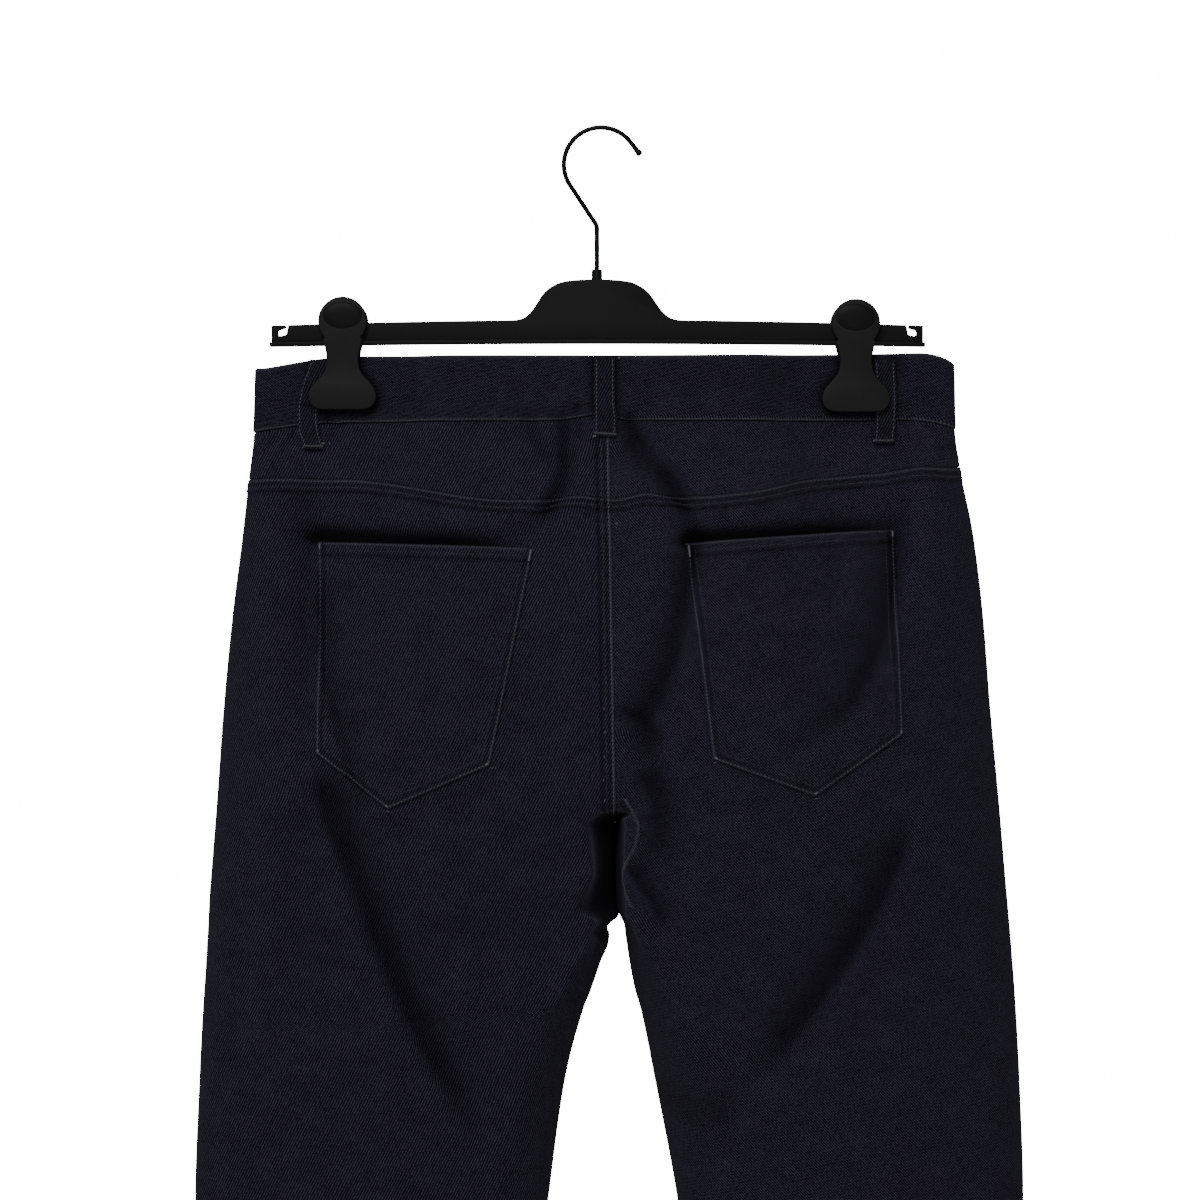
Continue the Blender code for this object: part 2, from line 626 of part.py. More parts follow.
def panel_grid(face, side, levels, columns):
    """Points and normals of a panel between two seams, levels being heights down its side."""
    share = shares(columns)
    side_z = levels[:, None] + np.zeros(len(share))
    placed_z = side_z.copy()
    placed_z[0] -= GAP / 2
    if levels[-1] > HEM:
        placed_z[-1] += GAP / 2
    points = trimmed(skin(face, side, placed_z, share))
    middle = column(OUTLINE, "inner_" + side, np.maximum(side_z, CROTCH))
    if side == "left":
        points[..., 0] = np.minimum(points[..., 0], middle - GAP / 2)
    else:
        points[..., 0] = np.maximum(points[..., 0], middle + GAP / 2)
    return points, skin_normal(face, side, side_z, share)


def build_lower_leg(face, side, columns, denim):
    """A leg panel's lower length, its wall thicker in the turned-up hem."""
    grid = panel_grid(face, side, stretch_levels(LOWER_ROWS), columns)
    turned_up = (HEM + HEM_HEIGHT + 1) * MM
    thickness = lambda vertex: CLOTH + (HEM_EXTRA if vertex.co.z < turned_up else 0)
    thicken(f"{face}_{side}_lower", cloth_sheet(*grid), thickness, denim)


def build_front(side, denim):
    """The front panel, cut away at the pocket's mouth, and the facing seen through it."""
    rows = [Stretch(WAIST_SEAM, YOKE_SEAM, 3), *SEAT_ROWS]
    grid = panel_grid("front", side, stretch_levels(rows), FRONT_COLUMNS)
    way = -1 if side == "left" else 1
    *edge, inside = [(MOUTH_CENTRE + way * point.out, point.z) for point in (*MOUTH, IN_MOUTH)]
    mouth = cut_lines(edge, inside)
    panel = cloth_sheet(*grid)
    cut(panel, mouth, clear=False)
    open_faces = [f for f in panel.faces if min(depths(f.calc_center_median(), mouth)) > 0]
    bmesh.ops.delete(panel, geom=open_faces, context="FACES")
    thicken(f"front_{side}", panel, lambda vertex: CLOTH, denim)
    thigh = panel_grid("front", side, stretch_levels(THIGH_ROWS), FRONT_COLUMNS)
    wall(f"front_{side}_thigh", *thigh, denim)
    build_lower_leg("front", side, FRONT_COLUMNS, denim)
    facing = cloth_sheet(*grid)
    cut(facing, [(start - inward * FACING_UNDER, inward) for start, inward in mouth], clear=True)
    normal = facing.verts.layers.float_vector["normal"]
    for vertex in facing.verts:
        vertex.co -= vertex[normal] * ((CLOTH + GAP) * MM)
    thicken(f"pocket_facing_{side}", facing, lambda vertex: FACING_CLOTH, denim)


def build_back(side, denim):
    """The back panel, its yoke, and the patch pocket cut from the panel's own sheet."""
    grid = panel_grid("back", side, stretch_levels([*SEAT_ROWS, *THIGH_ROWS]), BACK_COLUMNS)
    wall(f"back_{side}", *grid, denim)
    build_lower_leg("back", side, BACK_COLUMNS, denim)
    yoke = panel_grid("back", side, np.linspace(WAIST_SEAM, YOKE_SEAM, 5), BACK_COLUMNS)
    wall(f"yoke_{side}", *yoke, denim)
    corners = BACK_POCKETS[side]
    lines = cut_lines([*corners, corners[0]], np.mean(corners, axis=0))
    pocket = cloth_sheet(*grid)
    cut(pocket, lines, clear=True)
    normal = pocket.verts.layers.float_vector["normal"]
    for vertex in pocket.verts:
        inside = depths(vertex.co, lines)
        at_sides = smooth(inside[1] / GAPE_IN) * smooth(inside[4] / GAPE_IN)
        gape = (1 - smooth(inside[0] / GAPE_DOWN)) * at_sides
        vertex.co += vertex[normal] * ((GAP + MOUTH_GAPE * gape + CLOTH) * MM)
    thicken(f"back_pocket_{side}", pocket, lambda vertex: CLOTH, denim)


def build_waistband(denim):
    """One strip from the underlap at centre front, round the back, to the lap's end."""
    lap_share = find("front", LAP_END, LAP_Z)["right"][1]
    runs = [
        Run("front", "left", UNDERLAP_SHARE, 1, 3),
        Run("front", "right", 1, 0, 16),
        Run("back", "right", 0, 1, 16),
        Run("back", "left", 1, 0, 16),
        Run("front", "left", 0, 1, 16),
        Run("front", "right", 1, float(lap_share), 1),
    ]
    levels = np.linspace(WAIST_TOP, WAIST_SEAM + GAP, 4)
    points, normals = [], []
    for run in runs:
        share = np.linspace(run.start, run.end, run.columns + 1)[1 if points else 0 :]
        points.append(skin(run.face, run.side, levels[:, None], share))
        normals.append(skin_normal(run.face, run.side, levels[:, None], share))
    points, normals = np.concatenate(points, 1), np.concatenate(normals, 1)
    past_underlap = np.arange(points.shape[1]) - runs[0].columns - 1
    tucked = 1 - smooth(past_underlap / TUCK_COLUMNS)
    proud = BAND_PROUD - tucked * (BAND + UNDERLAP_TUCK)
    return wall("waistband", points + normals * proud[:, None], normals, denim, BAND)


def build_fly(denim):
    """The fly piece over the centre seam, its outer edge turning in to a J."""
    down, across = np.meshgrid(np.linspace(0, 1, 13), np.linspace(0, 1, 6), indexing="ij")
    z = mix(FLY_TOP, FLY_FOOT, down)
    turn = np.clip((FLY_TURN - z) / (FLY_TURN - FLY_FOOT), 0, 1)
    centre = column(OUTLINE, "inner_left", z)
    outer_x = centre - FLY_WIDTH * np.sqrt(1 - (FLY_CLOSE * turn) ** 2)
    points, normals = on_face("front", mix(outer_x, centre + FLY_OVERLAP, across), z)
    wall("fly", points + normals * (GAP + CLOTH), normals, denim)


def build_belt_loops(denim):
    """Straps that stand off the waistband and step down to their feet on the panels."""
    for loop in BELT_LOOPS:
        top, _ = on_face(loop.face, loop.x, WAIST_TOP + ABOVE_BAND)
        down, across = np.meshgrid(np.linspace(0, 1, 9), [-0.5, 0, 0.5], indexing="ij")
        x = mix(loop.x, loop.foot_x, down) + across * LOOP_WIDTH
        z = mix(float(top[2]) + loop.rise, loop.foot_z, down)
        points, normals = on_face(loop.face, x, z)
        normals[..., 2] = 0
        normals /= np.linalg.norm(normals, axis=-1, keepdims=True)
        lift = loop.lift + BAND_PROUD + loop.bow * np.sin(math.pi * down) ** 0.5
        step = smooth((down - LOOP_FOOT_FROM) / LOOP_FOOT_RUN)
        lift = lift + (loop.foot_lift - BAND_PROUD) * step
        points = points + normals * (lift + LOOP_THICK)[..., None]
        wall(f"belt_loop_{loop.name}", points, normals, denim, LOOP_THICK)


def turned(name, rings, sides, finish, x=0.0):
    """A solid of revolution about an upright axis at x, through rings that end on it."""
    shape = bmesh.new()
    points = [shape.verts.new(((x + ring.radius) * MM, 0, ring.height * MM)) for ring in rings]
    edges = [shape.edges.new(pair) for pair in zip(points, points[1:])]
    bmesh.ops.spin(
        shape, geom=points + edges, axis=(0, 0, 1), cent=(x * MM, 0, 0), angle=2 * math.pi,
        steps=sides, use_merge=True,
    )
    bmesh.ops.remove_doubles(shape, verts=shape.verts[:], dist=1e-6)
    bmesh.ops.recalc_face_normals(shape, faces=shape.faces[:])
    mesh = bpy.data.meshes.new(name)
    shape.to_mesh(mesh)
    shape.free()
    mesh.shade_smooth()
    mesh.set_sharp_from_angle(angle=math.radians(35))
    return add_object(name, mesh, finish)


def build_button(metal):
    """A dished disc on a short shank, on the lap."""
    point, normal = on_face("front", BUTTON_X, BUTTON_Z)
    button = turned("waist_button", BUTTON_RINGS, BUTTON_SIDES, metal)
    button.location = Vector(point + normal * (BAND_PROUD + BUTTON_STAND)) * MM
    button.rotation_euler = Vector(normal).to_track_quat("Z", "X").to_euler()


def plate(name, outline, low_y, high_y, finish):
    """A plate cut to an outline of (x, z) points and extruded along y."""
    flat = bmesh.new()
    face = flat.faces.new([flat.verts.new((x * MM, low_y * MM, z * MM)) for x, z in outline])
    made = bmesh.ops.extrude_face_region(flat, geom=[face], use_keep_orig=True)
    moved = [v for v in made["geom"] if isinstance(v, bmesh.types.BMVert)]
    bmesh.ops.translate(flat, verts=moved, vec=(0, (high_y - low_y) * MM, 0))
    bmesh.ops.recalc_face_normals(flat, faces=flat.faces[:])
    mesh = bpy.data.meshes.new(name)
    flat.to_mesh(mesh)
    flat.free()
    return add_object(name, mesh, finish)


def arc(centre_x, centre_z, radius, start, end, steps):
    """Points of an arc, its angles in degrees from +X towards +Z."""
    angles = np.radians(np.linspace(start, end, steps + 1))
    return [(centre_x + radius * math.cos(a), centre_z + radius * math.sin(a)) for a in angles]


def boolean(target, other, operation):
    modifier = target.modifiers.new(operation.title(), "BOOLEAN")
    modifier.operation = operation
    modifier.object = other
    other.hide_render = True
    other.display_type = "WIRE"


def hump_height(x):
    """Top edge of the bar over its middle, at a distance from the hanger's centre."""
    x = abs(x)
    share = 1 - float(smooth((x - HUMP_FLAT) / (HUMP_FOOT - HUMP_FLAT)))
    crown = HUMP_CROWN * max(0.0, 1 - (x / HUMP_FLAT) ** 2)
    return BAR_TOP + HUMP_RISE * share - HUMP_CROWN + crown


def bar_sag(x):
    return -BAR_SAG * (x / BAR_HALF) ** 2


def build_bar(plastic):
    """The bar with its flange and collar, less the hook's socket and two strap notches."""
    half_web = BAR_HALF - BAR_TAB
    across = np.concatenate([
        np.linspace(-half_web, -HUMP_FOOT, ARM_COLUMNS + 1)[:-1],
        np.linspace(-HUMP_FOOT, HUMP_FOOT, HUMP_COLUMNS + 1),
        np.linspace(HUMP_FOOT, half_web, ARM_COLUMNS + 1)[1:],
    ])
    top = [(HANGER_X + x, hump_height(x) + bar_sag(x)) for x in across]
    foot_x = np.linspace(half_web, -half_web, FOOT_COLUMNS + 1)
    foot = [(HANGER_X + x, BAR_FOOT + bar_sag(x)) for x in foot_x]
    bar = plate("hanger_bar", top + foot, -BAR_WEB, BAR_WEB, plastic)
    flange_x = np.linspace(-BAR_HALF, BAR_HALF, FOOT_COLUMNS + 1)
    low = [(HANGER_X + x, BAR_FOOT - FLANGE_DROP + bar_sag(x)) for x in flange_x]
    high = [(x, z + FLANGE_HEIGHT) for x, z in reversed(low)]
    boolean(bar, plate("bar_flange", low + high, -BAR_FLANGE, BAR_FLANGE, plastic), "UNION")
    collar = turned("bar_collar", COLLAR_RINGS, COLLAR_SIDES, plastic, STEM_X)
    boolean(bar, collar, "UNION")
    floor, past = COLLAR_TOP - SOCKET_DEPTH, COLLAR_TOP + SOCKET_PAST
    socket_radius = WIRE_RADIUS + GAP
    socket_rings = [Ring(0, floor), Ring(socket_radius, floor), Ring(socket_radius, past)]
    socket_rings.append(Ring(0, past))
    socket = turned("hook_socket", socket_rings, SOCKET_SIDES, plastic, STEM_X)
    boolean(bar, socket, "DIFFERENCE")
    eye = [NotchPoint(*point) for point in arc(0, 0, EYE_RADIUS, 90, 270, 8)]
    for name, way in (("left", -1), ("right", 1)):
        eye_x = HANGER_X + way * (BAR_HALF - EYE_INSET)
        notch = [(eye_x - way * p.inward, EYE_Z + p.rise) for p in eye + NOTCH_MOUTH]
        cutter = plate(f"strap_notch_{name}", notch, -NOTCH_DEPTH, NOTCH_DEPTH, plastic)
        boolean(bar, cutter, "DIFFERENCE")


def tube(name, route, radii, sides, finish):
    """A round wire along a route of (x, z) points, with flat ends."""
    route, radii = np.array(route, float), np.array(radii, float)[:, None]
    ways = np.gradient(route, axis=0)
    aside = np.stack([ways[:, 1], -ways[:, 0]], 1) / np.linalg.norm(ways, axis=1, keepdims=True)
    turn = np.linspace(0, 2 * math.pi, sides + 1)
    out = aside[:, None, :] * np.cos(turn)[None, :, None] * radii[..., None]
    points = np.zeros((len(route), sides + 1, 3))
    points[..., 0] = route[:, :1] + out[..., 0]
    points[..., 1] = np.sin(turn) * radii
    points[..., 2] = route[:, 1:] + out[..., 1]
    wire = cloth_sheet(points, points)
    bmesh.ops.remove_doubles(wire, verts=wire.verts[:], dist=1e-6)
    bmesh.ops.holes_fill(wire, edges=wire.edges[:], sides=sides)
    bmesh.ops.recalc_face_normals(wire, faces=wire.faces[:])
    mesh = bpy.data.meshes.new(name)
    wire.to_mesh(mesh)
    wire.free()
    mesh.shade_smooth()
    mesh.set_sharp_from_angle(angle=math.radians(50))
    return add_object(name, mesh, finish)


def build_hook(steel):
    """The wire: up its stem, out to the left, over the rail, and down to a blunt tip."""
    route = [(STEM_X, COLLAR_TOP - SOCKET_DEPTH + GAP), (STEM_X, STEM_TOP)]
    route += arc(STEM_X - CRANK_RADIUS, CRANK_Z, CRANK_RADIUS, CRANK_FROM, CRANK_TO, 4)
    route += arc(0.0, WIRE_RADIUS - HOOK_RADIUS, HOOK_RADIUS, HOOK_FROM, HOOK_TO, 24)
    swell = [1.0] * len(route) + [tip.swell for tip in HOOK_TIP]
    last, heading = route[-1], math.radians(HOOK_TO - 90)
    for tip in HOOK_TIP:
        along = tip.step * math.cos(heading), tip.step * math.sin(heading)
        route.append((last[0] + along[0], last[1] + along[1]))
    tube("hanger_hook", route, [WIRE_RADIUS * s for s in swell], WIRE_SIDES, steel)


def jaw_outline(x, drop):
    """A jaw's outline as (x, z) points, from the top of its head down the right and back up."""
    right = arc(0, HEAD_Z, HEAD_RADIUS, 90, -40, 12)
    right += [(point.half, point.z) for point in NECK]
    right += arc(PADDLE_HALF - SHOULDER_RADIUS, SHOULDER_Z, SHOULDER_RADIUS, 50, 0, 4)
    corner_x, corner_z = PADDLE_HALF - PADDLE_CORNER, PADDLE_FOOT + PADDLE_CORNER
    right += arc(corner_x, corner_z, PADDLE_CORNER, 0, -90, 6)
    left = [(-half, z) for half, z in reversed(right) if half > 1e-6]
    return [(x + half, z - drop) for half, z in right + left]


def build_clips(plastic):
    """Jaws that close over the bar: each has a pad on the cloth and a boss over the bar."""
    for side, x in CLIP_X.items():
        pad_left, pad_right = (x + end for end in PAD_SPAN[side])
        pad = [(pad_left, PAD_FOOT), (pad_right, PAD_FOOT)]
        pad += [(pad_right, PAD_TOP), (pad_left, PAD_TOP)]
        boss_z = BAR_TOP + bar_sag(x) + BOSS_LIFT + BOSS_RADIUS
        boss = arc(x, boss_z, BOSS_RADIUS, 0, 360, BOSS_SIDES)[:-1]
        for face, way in (("back", -1), ("front", 1)):
            name = f"clip_{side}_{face}_jaw"
            low, high = sorted((way * JAW_FACE, way * (JAW_FACE + JAW_THICK)))
            jaw = plate(name, jaw_outline(x, CLIP_DROP[side]), low, high, plastic)
            low, high = sorted((way * PAD_FACE, way * (JAW_FACE + JAW_ROOT)))
            boolean(jaw, plate(f"{name}_pad", pad, low, high, plastic), "UNION")
            low, high = sorted((way * GAP / 2, way * (JAW_FACE + JAW_ROOT)))
            boolean(jaw, plate(f"{name}_boss", boss, low, high, plastic), "UNION")


def main():
    for old in list(bpy.data.objects):
        bpy.data.objects.remove(old)
    denim = material("indigo_denim", (0.012, 0.011, 0.020), 0.9)
    plastic = material("black_plastic", (0.012, 0.012, 0.013), 0.55)
    steel = material("black_steel", (0.010, 0.010, 0.011), 0.35, 0.6)
    button_metal = material("dark_metal", (0.05, 0.045, 0.04), 0.4, 1.0)
    for side in ("left", "right"):
        build_back(side, denim)
        build_front(side, denim)
    build_waistband(denim)
    build_fly(denim)
    build_belt_loops(denim)
    build_button(button_metal)
    build_bar(plastic)
    build_hook(steel)
    build_clips(plastic)


main()
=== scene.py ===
import math

import bmesh
import bpy
import numpy as np
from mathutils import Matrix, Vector


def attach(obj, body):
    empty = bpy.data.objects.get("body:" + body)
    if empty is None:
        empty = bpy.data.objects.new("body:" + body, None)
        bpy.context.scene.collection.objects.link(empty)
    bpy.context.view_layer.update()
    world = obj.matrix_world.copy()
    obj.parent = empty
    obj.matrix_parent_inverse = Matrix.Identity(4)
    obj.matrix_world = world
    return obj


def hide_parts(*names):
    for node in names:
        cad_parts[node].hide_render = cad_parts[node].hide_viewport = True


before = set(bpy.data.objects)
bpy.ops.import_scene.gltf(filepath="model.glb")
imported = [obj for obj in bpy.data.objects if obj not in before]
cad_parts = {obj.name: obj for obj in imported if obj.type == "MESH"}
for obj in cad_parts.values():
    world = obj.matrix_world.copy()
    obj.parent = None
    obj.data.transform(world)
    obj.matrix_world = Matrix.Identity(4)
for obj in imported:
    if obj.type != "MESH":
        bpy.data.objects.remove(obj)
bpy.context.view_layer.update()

print("frame loaded:", len(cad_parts), "nodes")

# Lengths are millimetres until mm turns them into metres. The back of the jeans faces -Y,
# and "left" is the wearer's left, at -X.
mm = 0.001

# ---- The form that the jeans hang in ----


def table(names, rows):  # named columns, a row for each height or fold
    return dict(zip(names.split(), np.array(rows, float).T))


heights = {"waistTop": -148, "crotch": -475, "hem": -1245}

# Where the outline runs at each height down the side seam. spread moves the back's rim out
# where the inner thighs part; raiseRight and holdRight are the right side's own droop.
outline = table(
    "sideZ outerLeft outerRight innerLeft innerRight spreadLeft spreadRight raiseRight holdRight",
    [
        (-148, -213.9, 218.6, 3, 3, 0, 0, 3.2, 0.17),
        (-188, -215.2, 219.6, 5.1, 5.1, 0, 0, 2, 0.12),
        (-217, -218.4, 222.6, 5.8, 5.8, 0, 0, 8, 0),
        (-254, -222.5, 230.4, 6.6, 6.6, 0, 0, 6, 0),
        (-300, -228.3, 236.5, 7.2, 7.2, 0, 0, 3, 0),
        (-360, -234, 241.5, 8.2, 8.2, 0, 0, 0, 0),
        (-420, -238.3, 247, 9, 9, 0, 0, 0, 0),
        (-440, -239.9, 248.7, 9.1, 9.1, -10, -9, 0, 0),
        (-458, -241.3, 250.2, 9, 9, 0, -9, 0, 0),
        (-475, -242.6, 251.7, 9, 9, 8, -5, 0, 0),
        (-492, -243.4, 253.2, 9.1, 8.5, 5, -4, 0, 0),
        (-506, -244.2, 254.4, 9.6, 9.2, 14, -3.5, 0, 0),
        (-510, -244.4, 254.7, 11.6, 11.2, 5, -5, 0, 0),
        (-512, -244.6, 254.8, 10.3, 12.5, 3, -5, 0, 0),
        (-514, -244.7, 255, 6.3, 13.8, 0, -5, 0, 0),
        (-516.5, -244.8, 255.2, 3.7, 14.7, -1, -5, 0, 0),
        (-519, -245, 255.4, 5.4, 14.9, -1, -4, 0, 0),
        (-523, -245.2, 255.7, 4.9, 15.8, -1, -3, 0, 0),
        (-530, -245.7, 256.2, 0.7, 17.3, -1, -2, 0, 0),
        (-544, -246.6, 257.1, -6.2, 21.1, 0, 0, 0, 0),
        (-552, -247.1, 257.6, -10.6, 24.4, 0, 0, 0, 0),
        (-589, -248.9, 259.5, -22.1, 33.3, 0, 0, 0, 0),
        (-663, -251.5, 261.8, -32.6, 47.3, 0, 0, 0, 0),
        (-775, -250, 258, -48, 61, 0, 0, 0, 0),
        (-1000, -243, 250, -62, 71, 0, 0, 0, 0),
        (-1245, -236, 243, -67, 75, 0, 0, 0, 0),
    ],
)

# A section goes from the side seam over the panel to a rim near its inner edge, and from
# there to the centre seam or inseam.
rimShare = 0.82
sectionNames = "sideZ flatZ midZ fallFrom fallTo shoulder reach rim rimY bend innerY out deep"
sections = {
    "back": table(sectionNames, [
        (-148, -140.4, -140.4, 0.6, 0.92, 20, 66, 34, 13, 11, 12, 11, 0),
        (-188, -181.6, -181.4, 0.6, 0.98, 23, 66, 34, 17, 11, 16, 11, 0),
        (-217, -230, -230, 0.28, 0.62, 32, 70, 34, 34, 11, 34, 11, 0),
        (-254, -259, -259, 0.15, 0.9, 38, 74, 34, 46, 11, 46, 11, 0),
        (-300, -301, -301, 0, 1, 43, 78, 34, 54, 11, 55, 11, 0),
        (-360, -360, -359, 0, 1, 48, 82, 34, 58, 11, 60, 11, 0),
        (-400, -400, -399, 0, 1, 51, 86, 33, 58, 11, 59, 11, 0),
        (-422, -422, -413, 0, 1, 53, 88, 32, 57, 10, 56, 11, 0),
        (-440, -440, -420, 0, 1, 54, 90, 24, 56, 8, 48, 10, 1),
        (-458, -458, -423.5, 0, 1, 55, 92, 17, 55, 6, 22, 5, 14),
        (-475, -475, -429, 0, 1, 55, 94, 12, 54, 4, -8, 0, 32),
        (-492, -492, -456, 0, 1, 55, 94, 11, 53, 4, -8, 0, 32),
        (-506, -506, -480, 0, 1, 55, 94, 11, 51, 4, -8, 0, 32),
        (-514, -514, -491, 0, 1, 55, 90, 14, 50, 6, -8, 0, 32),
        (-530, -530, -514, 0, 1, 54, 84, 20, 49, 9, -7, 0, 30),
        (-560, -560, -555, 0, 1, 52, 76, 26, 47, 12, -5, 0, 28),
        (-600, -600, -600, 0, 1, 49, 68, 32, 44, 14, -3, 0, 26),
        (-663, -663, -663, 0, 1, 43, 62, 35, 38, 15, 0, 0, 23),
        (-775, -775, -775, 0, 1, 28, 58, 33, 26, 15, 0, 0, 16),
        (-1000, -1000, -1000, 0, 1, 22, 54, 30, 20, 14, 0, 0, 12),
        (-1245, -1245, -1245, 0, 1, 18, 50, 28, 17, 13, 0, 0, 10),
    ]),
    "front": table(sectionNames, [
        (-148, -149, -151, 0.6, 0.98, 20, 66, 34, 13, 11, 12, 11, 0),
        (-188, -189, -191, 0.6, 0.98, 23, 66, 34, 17, 11, 16, 11, 0),
        (-217, -218, -220, 0.2, 0.95, 28, 68, 34, 26, 11, 26, 11, 0),
        (-254, -255, -256, 0, 1, 32, 72, 34, 35, 11, 36, 11, 0),
        (-300, -300, -301, 0, 1, 36, 76, 34, 42, 11, 43, 11, 0),
        (-360, -360, -359, 0, 1, 41, 78, 34, 45, 11, 47, 11, 0),
        (-400, -400, -397, 0, 1, 43, 80, 34, 45, 11, 46, 11, 0),
        (-422, -422, -412, 0, 1, 44, 82, 33, 44, 11, 42, 11, 1),
        (-440, -440, -420, 0, 1, 44, 82, 30, 43, 10, 33, 9, 5),
        (-458, -458, -424.5, 0, 1, 44, 82, 26, 43, 10, 20, 5, 11),
        (-475, -475, -429, 0, 1, 44, 80, 23, 42, 10, 8, 1, 18),
        (-492, -492, -456, 0, 1, 44, 78, 22, 42, 10, 8, 0, 19),
        (-506, -506, -480, 0, 1, 44, 76, 22, 42, 10, 8, 0, 19),
        (-514, -514, -491, 0, 1, 44, 74, 23, 42, 10, 8, 0, 19),
        (-530, -530, -514, 0, 1, 44, 72, 25, 41, 11, 7, 0, 19),
        (-560, -560, -555, 0, 1, 43, 68, 29, 40, 13, 5, 0, 20),
        (-600, -600, -600, 0, 1, 41, 64, 33, 37, 14, 3, 0, 20),
        (-663, -663, -663, 0, 1, 36, 60, 35, 32, 15, 0, 0, 19),
        (-775, -775, -775, 0, 1, 26, 58, 33, 24, 15, 0, 0, 15),
        (-1000, -1000, -1000, 0, 1, 22, 54, 30, 20, 14, 0, 0, 12),
        (-1245, -1245, -1245, 0, 1, 18, 50, 28, 17, 13, 0, 0, 10),
    ]),
}

# The clips pinch back and front together, and let go further down.
clipX = {"left": -159.7, "right": 157.5}
pinchY = 2.5
pinch = table("sideZ strength held reach", [
    (-148, 1.0, 32, 72), (-176, 1.0, 32, 72), (-188, 0.95, 24, 70), (-217, 0.64, 6, 66),
    (-254, 0.36, 0, 66), (-300, 0.20, 0, 70), (-400, 0.0, 0, 80), (-1245, 0.0, 0, 80),
])

